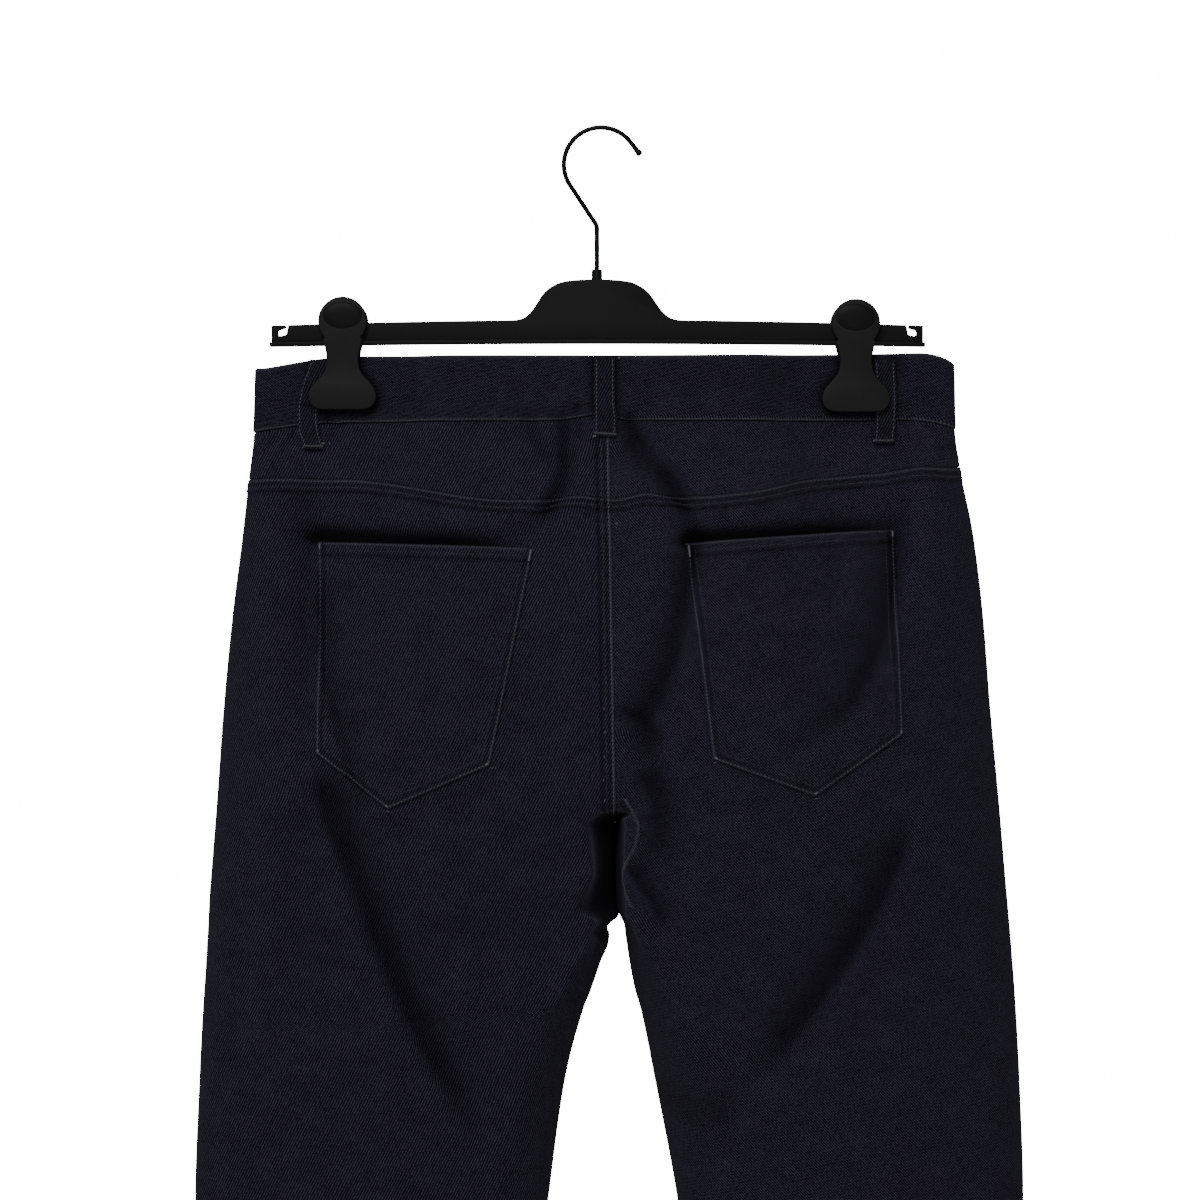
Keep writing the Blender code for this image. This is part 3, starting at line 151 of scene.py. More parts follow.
# Folds and creases, each along a line of (x, z) points, from top to foot or from left to right.
# Then come its widths on the line's left (or lower) and right (or upper) side, and how far it
# stands out: a trough is negative. A long fold is sharp on one side and soft on the other.
creases = {
    "back": [
        (((-180, -206), (-181, -300), (-183, -410)), 13, 8, -5.0),
        (((-172, -262), (-171, -300), (-167, -340), (-158, -374), (-149, -404), (-140, -432)),
         3.5, 13, -5.5),
        (((-174, -380), (-170, -406), (-162, -432), (-151, -460), (-134, -505), (-114, -550),
          (-93, -589), (-73, -623), (-40, -672)), 4.2, 19, -9.5),
        (((186, -212), (181, -262), (174, -305), (163, -335), (148, -360), (122, -382), (98, -394)),
         17, 6, -7.0),
        (((191, -412), (184, -442), (172, -470), (158, -497), (144, -519), (127, -543),
          (112, -564), (99, -582), (62, -626)), 20, 4.2, -8.8),
        (((7, -172), (26, -200), (42, -220), (60, -256)), 7, 8.5, -6.8),
        (((16, -190), (19, -206), (30, -222)), 5, 7, -3.4),
        (((59, -238), (53, -280), (46, -320), (37, -345), (28, -366), (32, -392), (27, -428)),
         12, 6, -8.0),
        (((30, -208), (49, -232), (58, -260), (55, -292)), 8, 7, -4.6),
        (((24, -392), (34, -415), (33, -440), (27, -466)), 6, 16, -6.8),
        (((8, -356), (27, -367), (48, -386)), 4, 5, -3.5),
        (((-21, -166), (-23, -196), (-24, -218), (-35, -238), (-60, -258)), 5, 7, -7.0),
        (((-46, -170), (-38, -198), (-26, -212)), 3.5, 5, -4.6),
        (((-14, -170), (-11, -202)), 3, 3.5, -4.2),
        (((15, -177), (29, -202)), 3, 4, -2.6),
        (((-187, -183), (-204, -211)), 2.6, 3.4, -2.4),
        (((-196, -183), (-212, -208)), 2.6, 3.2, -2.1),
        (((-162, -180), (-168, -198)), 3.4, 4, -2.6),
        (((186, -178), (204, -206)), 2.8, 3.4, -2.4),
        (((199, -180), (217, -209)), 2.6, 3.4, -2.2),
        (((-186, -400), (-183, -478), (-180, -575)), 16, 22, -4.0),
        (((-104, -486), (-56, -500), (-12, -505)), 7, 15, -4.0),
        (((-46, -325), (-50, -392)), 16, 16, -2.2),
        (((22, -590), (58, -606), (94, -608)), 9, 18, -5.0),
        (((-110, -290), (-100, -420)), 42, 42, 3.0),
        (((105, -290), (100, -420)), 42, 42, 3.0),
        (((14, -450), (25, -466), (34, -480), (42, -500)), 4, 9, -7.6),
        (((-12, -430), (-30, -462), (-32, -500)), 12, 7, -2.0),
        (((-52, -560), (-36, -600), (-40, -650)), 14, 8, -2.2),
        (((-150, -690), (-128, -765), (-120, -840)), 10, 28, -4.2),
        (((150, -700), (134, -780), (135, -860)), 28, 10, -4.2),
        (((-232, -790), (-190, -815), (-150, -812)), 6, 15, -2.6),
        (((108, -842), (160, -860), (214, -846)), 6, 14, -2.4),
        (((-90, -880), (-128, -905), (-176, -900)), 7, 14, -2.0),
        (((-200, -960), (-166, -1040), (-158, -1130)), 22, 12, -2.6),
        (((186, -980), (160, -1060), (168, -1140)), 12, 22, -2.6),
        (((-215, -1190), (-168, -1204), (-112, -1196)), 4, 9, -1.8),
        (((112, -1200), (160, -1192), (214, -1203)), 4, 9, -1.8),
    ],
    "front": [
        (((-166, -210), (-148, -300), (-116, -402)), 6, 20, -5.0),
        (((164, -210), (148, -305), (118, -402)), 20, 6, -5.0),
        (((-16, -414), (-56, -462), (-112, -522)), 16, 5, -5.5),
        (((28, -414), (66, -458), (120, -516)), 5, 16, -5.5),
        (((-18, -394), (-66, -424), (-128, -446)), 11, 4, -3.4),
        (((30, -392), (80, -420), (140, -440)), 4, 11, -3.2),
        (((-20, -440), (-50, -510), (-78, -560)), 9, 4, -2.8),
        (((-108, -470), (-126, -560), (-130, -645)), 10, 24, -4.0),
        (((116, -480), (130, -560), (138, -652)), 24, 10, -4.0),
        (((-196, -700), (-166, -760), (-130, -834)), 8, 26, -4.2),
        (((92, -690), (130, -752), (164, -824)), 26, 8, -4.2),
        (((-84, -800), (-130, -822), (-190, -812)), 13, 5, -2.6),
        (((84, -812), (140, -838), (208, -826)), 5, 13, -2.6),
        (((-40, -182), (-52, -205)), 3, 4, -2.2),
        (((36, -182), (50, -207)), 3, 4, -2.2),
        (((-206, -1186), (-160, -1204), (-104, -1196)), 4, 9, -1.8),
        (((104, -1198), (158, -1188), (210, -1202)), 4, 9, -1.8),
    ],
}
# Above each back pocket's mouth the seat dips, and shade is painted into the dip.
mouthDips = [
    (((-190, -252), (-150, -255), (-100, -258), (-30, -259)), 4, 8.5, -6.8),
    (((40, -257), (80, -255), (130, -252), (200, -244)), 4, 8.5, -6.5),
]
# Puckered seams are drawn up in the cloth's own plane, by rise, around (x, z) on the back.
sways = [  # x, z, reach aside, reach up and down, rise
    (-14, -229, 13, 15, 2.6), (28, -229, 13, 15, 4.0), (52, -231, 12, 14, 1.0),
    (-4, -182, 16, 11, 3.2), (-150, -190, 18, 10, -0.8), (-196, -222, 16, 9, 0.9),
    (80, -228, 22, 12, 2.2), (122, -222, 24, 11, 2.6), (196, -212, 18, 10, 3.0),
]
foldFade = 0.09  # the share of the way across, from the side seam, over which folds set in
legs = {"from": -400, "run": 60}  # heights over which folds start to fade at the inner edge too
midFrom = 0.42  # the share of the way across from which rows go over to midZ
# the shares of a crease over which it starts and ends, and the widths that it reaches
creaseEnds = {"head": 0.17, "foot": 0.34, "reach": 2.6}
# the uneven lie of the cloth
ripples = {"cells": (95, 42, 17), "heights": (1.0, 0.45, 0.14), "seed": 11, "stretch": 0.8,
           "start": (900, 2000)}
search = {"rounds": 7, "halvings": 17, "step": 0.62}  # how find closes in on a place


def column(rows, name, at):  # a column at side heights, through its rows with no overshoot
    down, values = -rows["sideZ"], rows[name]
    spans = np.diff(down)
    slopes = np.diff(values) / spans
    ends = np.zeros(len(values))
    first, second = 2 * spans[1:] + spans[:-1], spans[1:] + 2 * spans[:-1]
    with np.errstate(divide="ignore", invalid="ignore"):
        mean = (first + second) / (first / slopes[:-1] + second / slopes[1:])
    ends[1:-1] = np.where(slopes[:-1] * slopes[1:] > 0, mean, 0)
    ends[0], ends[-1] = slopes[0], slopes[-1]
    at = np.clip(-np.asarray(at, float), down[0], down[-1])
    k = np.clip(np.searchsorted(down, at, side="right") - 1, 0, len(spans) - 1)
    t = (at - down[k]) / spans[k]
    return (
        values[k] * (1 + 2 * t) * (1 - t) ** 2 + ends[k] * spans[k] * t * (1 - t) ** 2
        + values[k + 1] * t * t * (3 - 2 * t) + ends[k + 1] * spans[k] * t * t * (t - 1)
    )


def smooth(t):
    t = np.clip(t, 0, 1)
    return t * t * (3 - 2 * t)


def mix(a, b, t):
    return a + (b - a) * t


def unit(vectors):
    return vectors / np.maximum(np.linalg.norm(vectors, axis=-1, keepdims=True), 1e-9)


def cubic(t, start, first, second, end):
    u = 1 - t
    return u**3 * start + 3 * u * u * t * first + 3 * u * t * t * second + t**3 * end


def softNoise(x, z, cell, seed):  # uneven heights from -1 to 1, smooth over each cell
    lattice = np.random.default_rng(seed).uniform(-1, 1, (97, 97))
    gx, gz = np.asarray(x, float) / cell, np.asarray(z, float) / cell
    ix, iz = np.floor(gx).astype(int), np.floor(gz).astype(int)
    fx, fz = smooth(gx - ix), smooth(gz - iz)
    corner = lambda dx, dz: lattice[(ix + dx) % 97, (iz + dz) % 97]
    return mix(mix(corner(0, 0), corner(1, 0), fx), mix(corner(0, 1), corner(1, 1), fx), fz)


def curveThrough(corners, count=8):  # a smooth line through (x, z) points
    corners = np.array(corners, float)
    ways = np.gradient(corners, axis=0)
    ways[0], ways[-1] = corners[1] - corners[0], corners[-1] - corners[-2]
    ways = unit(ways)
    t = np.linspace(0, 1, count, endpoint=False)[:, None]
    stretches = []
    for k in range(len(corners) - 1):
        handle = np.linalg.norm(corners[k + 1] - corners[k]) / 3
        leave, arrive = corners[k] + ways[k] * handle, corners[k + 1] - ways[k + 1] * handle
        stretches.append(cubic(t, corners[k], leave, arrive, corners[k + 1]))
    return np.concatenate([*stretches, corners[-1:]])


def offLine(line, at):  # distances from a line, above zero on its right or upper side
    start, run = line[:-1, None], np.diff(line, axis=0)[:, None]
    to = at[None] - start
    share = np.clip((to * run).sum(-1) / (run**2).sum(-1), 0, 1)
    away = to - share[..., None] * run
    nearest = np.linalg.norm(away, axis=-1).argmin(0), np.arange(len(at))
    away, share, run = away[nearest], share[nearest], run[nearest[0], 0]
    side = np.where(run[:, 0] * away[:, 1] - run[:, 1] * away[:, 0] < 0, -1.0, 1.0)
    along = (nearest[0] + share) / (len(line) - 1)
    return np.linalg.norm(away, axis=-1) * side, along, away


def creaseDepth(rows, x, z):
    total = np.zeros(x.shape)
    for points, widthLeft, widthRight, depth in rows:
        line, reach = curveThrough(points), creaseEnds["reach"] * max(widthLeft, widthRight)
        near = (x > line[:, 0].min() - reach) & (x < line[:, 0].max() + reach)
        near &= (z > line[:, 1].min() - reach) & (z < line[:, 1].max() + reach)
        if not near.any():
            continue
        distance, along, _ = offLine(line, np.stack([x[near], z[near]], -1))
        width = np.where(distance > 0, widthRight, widthLeft)
        fade = smooth(along / creaseEnds["head"]) * smooth((1 - along) / creaseEnds["foot"])
        total[near] += depth * fade * np.exp(-((distance / width) ** 2))
    return total


def foldDepth(face, x, z):
    total = creaseDepth(creases[face], x, z)
    startX, startZ = ripples["start"]
    for cell, height in zip(ripples["cells"], ripples["heights"]):
        seed = ripples["seed"] + cell + (face == "front")
        total = total + height * softNoise(x + startX, z * ripples["stretch"] + startZ, cell, seed)
    return total


def form(face, side, sideZ, across):  # the surface before its folds, and how far they show
    sideZ, across = np.broadcast_arrays(np.asarray(sideZ, float), np.asarray(across, float))
    row = {name: column(sections[face], name, sideZ) for name in sectionNames.split()[1:]}
    towards = -1.0 if face == "back" else 1.0
    outwards = -1.0 if side == "left" else 1.0
    ending = side.title()
    outerX = column(outline, "outer" + ending, sideZ)
    innerX = column(outline, "inner" + ending, sideZ)
    rim = row["rim"]
    if face == "back":
        rim = rim + column(outline, "spread" + ending, sideZ)
    rimX, rimY = innerX + outwards * rim, row["rimY"]
    toRim = np.clip(across / rimShare, 0, 1)
    pastRim = np.clip((across - rimShare) / (1 - rimShare), 0, 1)
    x = np.where(
        pastRim > 0,
        cubic(pastRim, rimX, rimX - outwards * row["bend"], innerX + outwards * row["out"], innerX),
        cubic(toRim, outerX, outerX, rimX + outwards * row["reach"], rimX),
    )
    y = towards * np.where(
        pastRim > 0,
        cubic(pastRim, rimY, rimY, row["innerY"] + row["deep"], row["innerY"]),
        cubic(toRim, 0, row["shoulder"], rimY, rimY),
    )
    hold = column(outline, "holdRight", sideZ) if side == "right" else 0
    fallFrom, fallTo = row["fallFrom"] + hold, np.minimum(row["fallTo"] + hold, 1)
    fall = smooth((1 - across - fallFrom) / (fallTo - fallFrom))
    z = row["flatZ"] + (sideZ - row["flatZ"]) * fall
    z = z + (row["midZ"] - row["flatZ"]) * smooth((across - midFrom) / (rimShare - midFrom))
    if side == "right":
        z = z + column(outline, "raiseRight", sideZ) * (1 - across) ** 2
    reach = column(pinch, "reach", sideZ)
    free = (reach - np.abs(x - clipX[side])) / (reach - column(pinch, "held", sideZ))
    grip = column(pinch, "strength", sideZ) * smooth(free)
    y = mix(y, towards * np.minimum(np.abs(y), pinchY), grip)
    leg = smooth((legs["from"] - sideZ) / legs["run"])
    fade = smooth(across / foldFade) * mix(1, smooth((1 - across) / (1 - rimShare)), leg)
    return x, y, z, towards * fade


def skin(face, side, sideZ, across):  # across is 0 at the side seam and 1 at the inner edge
    x, y, z, fade = form(face, side, sideZ, across)
    drawn = z
    if face == "back":
        for atX, atZ, aside, down, rise in sways:
            drawn = drawn + rise * np.exp(-(((x - atX) / aside) ** 2) - ((z - atZ) / down) ** 2)
    return np.stack([x, y + fade * foldDepth(face, x, z), drawn], -1)


def rawNormal(face, side, sideZ, across):
    lowU, highU = np.clip(across - 0.003, 0, 1), np.clip(across + 0.003, 0, 1)
    lowZ = np.maximum(sideZ - 0.6, heights["hem"])
    highZ = np.minimum(sideZ + 0.6, heights["waistTop"])
    along = skin(face, side, sideZ, highU) - skin(face, side, sideZ, lowU)
    up = skin(face, side, highZ, across) - skin(face, side, lowZ, across)
    normal = unit(np.cross(along, up))
    return -normal if (face == "back") == (side == "right") else normal


def skinNormal(face, side, sideZ, across):  # shared along each seam by the panels that meet
    otherFace = "front" if face == "back" else "back"
    otherSide = "right" if side == "left" else "left"
    sideZ, across = np.broadcast_arrays(np.asarray(sideZ, float), np.asarray(across, float))
    normal = rawNormal(face, side, sideZ, across)
    atSide, atInner = across < 1e-6, across > 1 - 1e-6
    above = sideZ > heights["crotch"] + 1e-6
    for where, other in (
        (atSide | (atInner & ~above), (otherFace, side)),
        (atInner & above, (face, otherSide)),
    ):
        if where.any():
            normal[where] += rawNormal(*other, sideZ[where], across[where])
    return unit(normal)


def find(face, side, x, z):  # (sideZ, across) of a side's points that show at x and z
    x, z = np.broadcast_arrays(np.asarray(x, float), np.asarray(z, float))
    sideZ = z.copy()
    for _ in range(search["rounds"]):
        low, high = np.zeros(x.shape), np.ones(x.shape)
        for _ in range(search["halvings"]):
            middle = (low + high) / 2
            short = (form(face, side, sideZ, middle)[0] < x) == (side == "left")
            low, high = np.where(short, middle, low), np.where(short, high, middle)
        off = z - form(face, side, sideZ, middle)[2]
        sideZ = np.clip(sideZ + search["step"] * off, heights["hem"], heights["waistTop"])
    return sideZ, middle


def onFace(face, x, z):  # points and normals of a face at x and z
    x, z = np.broadcast_arrays(np.asarray(x, float), np.asarray(z, float))
    points, normals = np.zeros((*x.shape, 3)), np.zeros((*x.shape, 3))
    isLeft = x < column(outline, "innerLeft", z)
    for side, mine in (("left", isLeft), ("right", ~isLeft)):
        if mine.any():
            place = find(face, side, x[mine], z[mine])
            points[mine], normals[mine] = skin(face, side, *place), skinNormal(face, side, *place)
    return points, normals


# ---- Shader expressions ----


class Value:  # a socket; arithmetic on it adds Math nodes
    def __init__(self, tree, socket=None):
        self.tree = tree
        self.socket = socket

    def node(self, kind, settings=None, sockets=None, output=0):
        made = self.tree.nodes.new(kind)
        for name, setting in (settings or {}).items():
            setattr(made, name, setting)
        for name, given in (sockets or {}).items():
            if isinstance(given, Value):
                self.tree.links.new(given.socket, made.inputs[name])
            else:
                made.inputs[name].default_value = given
        return Value(self.tree, made.outputs[output])

    def math(self, operation, first, second=0.0, clamp=False):
        settings = {"operation": operation, "use_clamp": clamp}
        return self.node("ShaderNodeMath", settings, {0: first, 1: second})

    def __add__(self, other):
        return self.math("ADD", self, other)

    __radd__ = __add__

    def __sub__(self, other):
        return self.math("SUBTRACT", self, other)

    def __mul__(self, other):
        return self.math("MULTIPLY", self, other)

    __rmul__ = __mul__

    def wave(self):  # a sine from 0 to 1 over each whole step of the value
        return self.math("SINE", self * (2 * math.pi)) * 0.5 + 0.5

    def held(self):  # kept between 0 and 1
        return self.math("ADD", self, 0.0, True)

    def blend(self, first, second):  # colours mixed by this value
        return self.node(
            "ShaderNodeMix", {"data_type": "RGBA"}, {"Factor": self, 6: first, 7: second}, 2
        )


def newMaterial(name, roughness, metallic=0.0, **constants):
    material = bpy.data.materials.new(name)
    material.use_nodes = True
    surface = material.node_tree.nodes["Principled BSDF"]
    surface.inputs["Roughness"].default_value = roughness
    surface.inputs["Metallic"].default_value = metallic
    for socket, constant in constants.items():
        surface.inputs[socket.replace("_", " ")].default_value = constant
    return material, surface, Value(material.node_tree)


def noise(start, vector, scale, detail=2.0, roughness=0.5):
    sockets = {"Vector": vector, "Scale": scale, "Detail": detail, "Roughness": roughness}
    return start.node("ShaderNodeTexNoise", {}, sockets, "Fac")


def feed(surface, socket, value):
    value.tree.links.new(value.socket, surface.inputs[socket])


def bump(start, height, depth, strength=1.0):
    sockets = {"Height": height, "Distance": depth, "Strength": strength}
    return start.node("ShaderNodeBump", {}, sockets, "Normal")


twill = {
    "pitch": 1.72,  # along the cloth's width, between twill lines
    "yarn": 0.95,
    # the colour of painted shade
    "deep": (0.0004, 0.0003, 0.0007, 1),
    "dark": (0.0009, 0.0007, 0.0017, 1),
    "light": (0.0480, 0.0420, 0.0730, 1),
    # the pale colour of wear and of painted highlights
    "worn": (0.080, 0.080, 0.102, 1),
    "reverseDark": (0.016, 0.017, 0.023, 1),
    "reverseLight": (0.075, 0.078, 0.092, 1),
    "depth": 0.00025,
    # how much the weave, slubs, clouds and grain change the cloth's shade, and its level
    "weave": 1.25, "slub": 0.8, "cloud": 0.5, "grain": 3.4, "level": -0.22,
}


# lean is how far a twill line leans as it climbs, and bias makes the cloth paler or darker
def denim(name, lean, turned=False, reverse=False, bias=0.0):
    material, surface, start = newMaterial(
        name, 0.86, Sheen_Weight=0.04, Sheen_Roughness=0.6, Sheen_Tint=(0.66, 0.66, 0.84, 1),
        Specular_IOR_Level=0.06,
    )
    cloth = start.node("ShaderNodeUVMap", {"uv_map": "cloth"}, {}, "UV")
    parts = cloth.node("ShaderNodeSeparateXYZ", {}, {0: cloth}, "X")
    u, v = (Value(parts.tree, parts.socket.node.outputs[k]) * (1 / mm) for k in (0, 1))
    along, across = (700, 190) if turned else (190, 700)  # slubs run along the warp
    pulled = cloth.node("ShaderNodeMapping", {}, {"Vector": cloth, "Scale": (across, along, 1)})
    slub = noise(start, pulled, 1.0, 2.0, 0.6)
    cloudy = noise(start, cloth, 62.0, 4.0, 0.62)
    grain = noise(start, cloth, 1250.0, 2.0, 0.75)
    drift = (noise(start, cloth, 240.0) - 0.5) * 0.3
    ridge = ((u - v * lean) * (1 / twill["pitch"]) + drift).wave()
    floats = ((v + u * 0.45) * (1 / twill["yarn"]) + drift).wave()
    weave = ridge * (0.5 + 0.5 * floats)
    shade = weave * twill["weave"] + (slub - 0.5) * twill["slub"] + (cloudy - 0.5) * twill["cloud"]
    shade = (shade + (grain - 0.5) * twill["grain"] + (twill["level"] + bias)).held()
    if reverse:
        colour = shade.blend(twill["reverseDark"], twill["reverseLight"])
    else:
        # worn edges and painted highlights are paler, and painted shade darkens the folds, the hollow
        # and the seams' steps
        wear = start.node("ShaderNodeAttribute", {"attribute_name": "wear"}, {}, "Fac")
        colour = shade.blend(twill["dark"], twill["light"])
        colour = (wear * (0.4 + 1.0 * grain)).held().blend(colour, twill["worn"])
        colour = (wear * -1.0).held().blend(colour, twill["deep"])
    feed(surface, "Base Color", colour)
    feed(surface, "Roughness", 0.80 + 0.14 * shade)
    feed(surface, "Normal", bump(start, weave + grain * 0.6 + slub * 0.4, twill["depth"], 0.9))
    return material


def threadMaterial(name, colour, pale):
    material, surface, start = newMaterial(name, 0.62, Sheen_Weight=0.25, Sheen_Roughness=0.4)
    where = start.node("ShaderNodeTexCoord", {}, {}, "Object")
    fibres = noise(start, where, 900.0, 3.0)
    feed(surface, "Base Color", fibres.blend(colour, pale))
    feed(surface, "Normal", bump(start, noise(start, where, 3800.0), 0.0001, 0.6))
    return material


def plasticMaterial(name, colour, pale, roughness):
    material, surface, start = newMaterial(name, roughness, Specular_IOR_Level=0.12)
    where = start.node("ShaderNodeTexCoord", {}, {}, "Object")
    moulded = noise(start, where, 1400.0, 2.0, 0.6)
    flow = noise(start, where, 45.0, 3.0)
    feed(surface, "Base Color", flow.blend(colour, pale))
    feed(surface, "Roughness", roughness - 0.08 + 0.14 * flow)
    feed(surface, "Normal", bump(start, moulded, 0.00006, 0.5))
    return material


def metalMaterial(name, colour, pale, roughness, metallic):
    material, surface, start = newMaterial(name, roughness, metallic)
    where = start.node("ShaderNodeTexCoord", {}, {}, "Object")
    scuffs = noise(start, where, 700.0, 4.0, 0.65)
    patches = noise(start, where, 120.0, 2.0)
    feed(surface, "Base Color", patches.blend(colour, pale))
    feed(surface, "Roughness", roughness - 0.08 + 0.2 * scuffs)
    feed(surface, "Normal", bump(start, scuffs, 0.00004, 0.4))
    return material


finishes = {
    "denim": denim("indigoDenim", 0.5),
    "leaning": denim("indigoDenimLeaning", -0.95),  # the same cloth, hung the other way
    "band": denim("indigoDenimAcross", -1.1, turned=True, bias=-0.07),
    "reverse": denim("denimReverse", 0.5, reverse=True),
    # one thread in lit and shaded copies, painted lighter where a row catches more light, from the
    # most to the least
    "litThread": threadMaterial("litThread", (0.050, 0.052, 0.066, 1), (0.19, 0.195, 0.22, 1)),
    "thread": threadMaterial("slateThread", (0.030, 0.031, 0.040, 1), (0.115, 0.118, 0.138, 1)),
    "dimThread": threadMaterial("dimThread", (0.022, 0.023, 0.031, 1), (0.085, 0.087, 0.105, 1)),
    "dimmerThread": threadMaterial("dimmerThread", (0.015, 0.0155, 0.022, 1), (0.060, 0.062, 0.076, 1)),
    "shadedThread": threadMaterial("shadedThread", (0.006, 0.006, 0.009, 1), (0.024, 0.024, 0.032, 1)),
    "plastic": plasticMaterial(
        "blackPlastic", (0.0033, 0.0033, 0.0036, 1), (0.0056, 0.0056, 0.0061, 1), 0.5
    ),
    "clipPlastic": plasticMaterial(
        "blackClipPlastic", (0.0084, 0.0084, 0.0087, 1), (0.0130, 0.0130, 0.0134, 1), 0.5
    ),
    "wire": metalMaterial(
        "coatedWire", (0.006, 0.006, 0.0066, 1), (0.012, 0.012, 0.0128, 1), 0.42, 0.9
    ),
    "button": metalMaterial("agedButton", (0.06, 0.052, 0.044, 1), (0.115, 0.1, 0.082, 1), 0.38, 1.0),
}
print("materials made:", len(finishes))

# ---- Cloth helpers ----


def arc(centreX, centreZ, radius, start, end, count):  # in degrees from +X towards +Z
    angles = np.radians(np.linspace(start, end, count + 1))
    return np.stack([centreX + radius * np.cos(angles), centreZ + radius * np.sin(angles)], -1)


def addPiece(name, mesh, looks, nodes=()):
    made = bpy.data.objects.new(name, mesh)
    for look in looks:
        mesh.materials.append(finishes[look])
    bpy.context.scene.collection.objects.link(made)
    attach(made, "root")
    if nodes:
        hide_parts(*nodes)
    return made


def gridMesh(name, points, turned, uv=None, wear=None):  # a sheet through a grid of points
    rows, columns = points.shape[0] - 1, points.shape[1] - 1
    sheet = bmesh.new()
    bmesh.ops.create_grid(sheet, x_segments=columns, y_segments=rows, size=0.5)
    mesh = bpy.data.meshes.new(name)
    sheet.to_mesh(mesh)
    sheet.free()
    flat = np.zeros(len(mesh.vertices) * 3)
    mesh.vertices.foreach_get("co", flat)
    flat = flat.reshape(-1, 3)
    row, column = np.rint((0.5 - flat[:, 1]) * rows), np.rint((0.5 + flat[:, 0]) * columns)
    at = (row.astype(int), column.astype(int))
    mesh.vertices.foreach_set("co", (points[at] * mm).ravel())
    if uv is not None:
        corners = np.zeros(len(mesh.loops), int)
        mesh.loops.foreach_get("vertex_index", corners)
        layer = mesh.uv_layers.new(name="cloth")
        layer.data.foreach_set("uv", (uv[at][corners] * mm).ravel())
    # the layer holds wear and painted light: pale for wear and highlights, below zero for painted
    # shade
    worn = mesh.attributes.new("wear", "FLOAT", "POINT")
    worn.data.foreach_set("value", np.zeros(len(flat)) if wear is None else wear[at])
    if turned:
        mesh.flip_normals()
    mesh.shade_smooth()
    return mesh


def arcs(points):  # distances along the columns and down the rows of a grid of points
    along = np.linalg.norm(np.diff(points, axis=1), axis=-1)
    down = np.linalg.norm(np.diff(points, axis=0), axis=-1)
    u = np.concatenate([np.zeros((points.shape[0], 1)), np.cumsum(along, 1)], 1)
    v = np.concatenate([np.zeros((1, points.shape[1])), np.cumsum(down, 0)], 0)
    return u, v


def clothUv(points, way):  # u runs along the cloth, way says from which end, and v is the height
    u, _ = arcs(points * (1, 1, 0))  # without heights, so that rows drawn up don't bend the weave
    middle = points.shape[1] // 2
    start = points[:, middle : middle + 1, 0] - way * u[:, middle : middle + 1]
    return np.stack([way * u + start, points[..., 2]], -1)


def thicken(piece, thickness, inner=1):
    wall = piece.modifiers.new("Wall", "SOLIDIFY")
    wall.thickness = thickness * mm
    wall.offset = -1
    wall.use_even_offset = False
    wall.material_offset = inner
    return wall


def steps(*stretches):  # (start, end, count) stretches of even steps, joined end to end
    runs = [np.linspace(start, end, count + 1)[:-1] for start, end, count in stretches]
    return np.append(np.concatenate(runs), stretches[-1][1])


def dent(distance, centre, width):
    return np.exp(-(((distance - centre) / width) ** 2))


def grooves(distance, places, depth, width=0.65):  # where rows of stitches pull the cloth in
    return -depth * sum(dent(distance, place, width) for place in places)


def crossing(points, normals, distance, wanted):  # where columns of a grid are at a distance
    picked = [
        [np.interp(wanted, distance[:, k], field[:, k, axis]) for k in range(field.shape[1])]
        for field in (points, normals) for axis in range(3)
    ]
    return np.array(picked[:3]).T, np.array(picked[3:]).T


def sideways(points, normals, distance, wanted):  # the same for its rows
    swap = lambda field: np.swapaxes(field, 0, 1)
    return crossing(swap(points), swap(normals), distance.T, wanted)


# rows of stitches by their lit or shaded copy of the thread, as lines of points and normals
stitchRows = {"thread": [], "dimThread": [], "dimmerThread": [], "shadedThread": []}
cloth = {"thick": 1.5, "facing": 1.2, "band": 2.4, "bandProud": 0.6, "gap": 0.3, "hem": 13,
         "hemThick": 2.5}


# ---- Leg panels, yokes and front pocket facings ----

felled = {"width": 7.4, "height": 0.5, "stitches": (1.5, 5.4), "groove": 0.42, "pucker": 0.2,
          "step": 1.6, "edge": 0.75, "edgeWide": 0.9, "between": 3.4, "beside": 8.0, "stopShort": 20}
hemSeam = {"stitch": 11.0, "groove": 0.4, "pucker": 0.35}
# where the seat parts, and its lip's width and the hollow's edge as shares of the way across; pale is
# a painted highlight on the lip where its normal's depth part is near turn, within spread
lip = {"from": -412, "to": -528, "turn": 0.50, "spread": 0.10, "pale": 0.34, "wide": 0.03,
       "inside": 0.05}
# how much shade is painted into the bottoms of the folds, the hollow between the thighs and the dips
# above the pocket mouths
paintedShade = {
    "start": 0.6, "fold": 7.0, "core": 4.2, "coreFold": 4.6, "coreShare": 0.45, "most": 0.6,
    "hollow": 1.0, "ceiling": -440, "floor": -517, "mouth": 0.9, "mouthDepth": 5.0,
}


def foldShade(face, x, z):  # painted shade for how far points lie down in the folds, from 0 to 1
    down = -foldDepth(face, x, z)
    halo = smooth((down - paintedShade["start"]) / paintedShade["fold"])
    core = smooth((down - paintedShade["core"]) / paintedShade["coreFold"])
    return halo * (1 - paintedShade["coreShare"]) + core * paintedShade["coreShare"]


def hollowPaintedLight(sideZ, share, normals):  # painted highlight on the lip where it turns in, and painted shade in the hollow behind it
    window = smooth((lip["from"] - sideZ) / 12) * smooth((sideZ - lip["to"]) / 16)
    pale = window * smooth((share - rimShare + lip["wide"]) / lip["wide"])
    pale = lip["pale"] * pale * dent(np.abs(normals[..., 1]), lip["turn"], lip["spread"])
    dark = window * smooth((sideZ - paintedShade["floor"]) / 8) * smooth((paintedShade["ceiling"] - sideZ) / 9)
    inside = smooth((share - rimShare - lip["wide"]) / lip["inside"])
    return pale - paintedShade["hollow"] * dark * inside


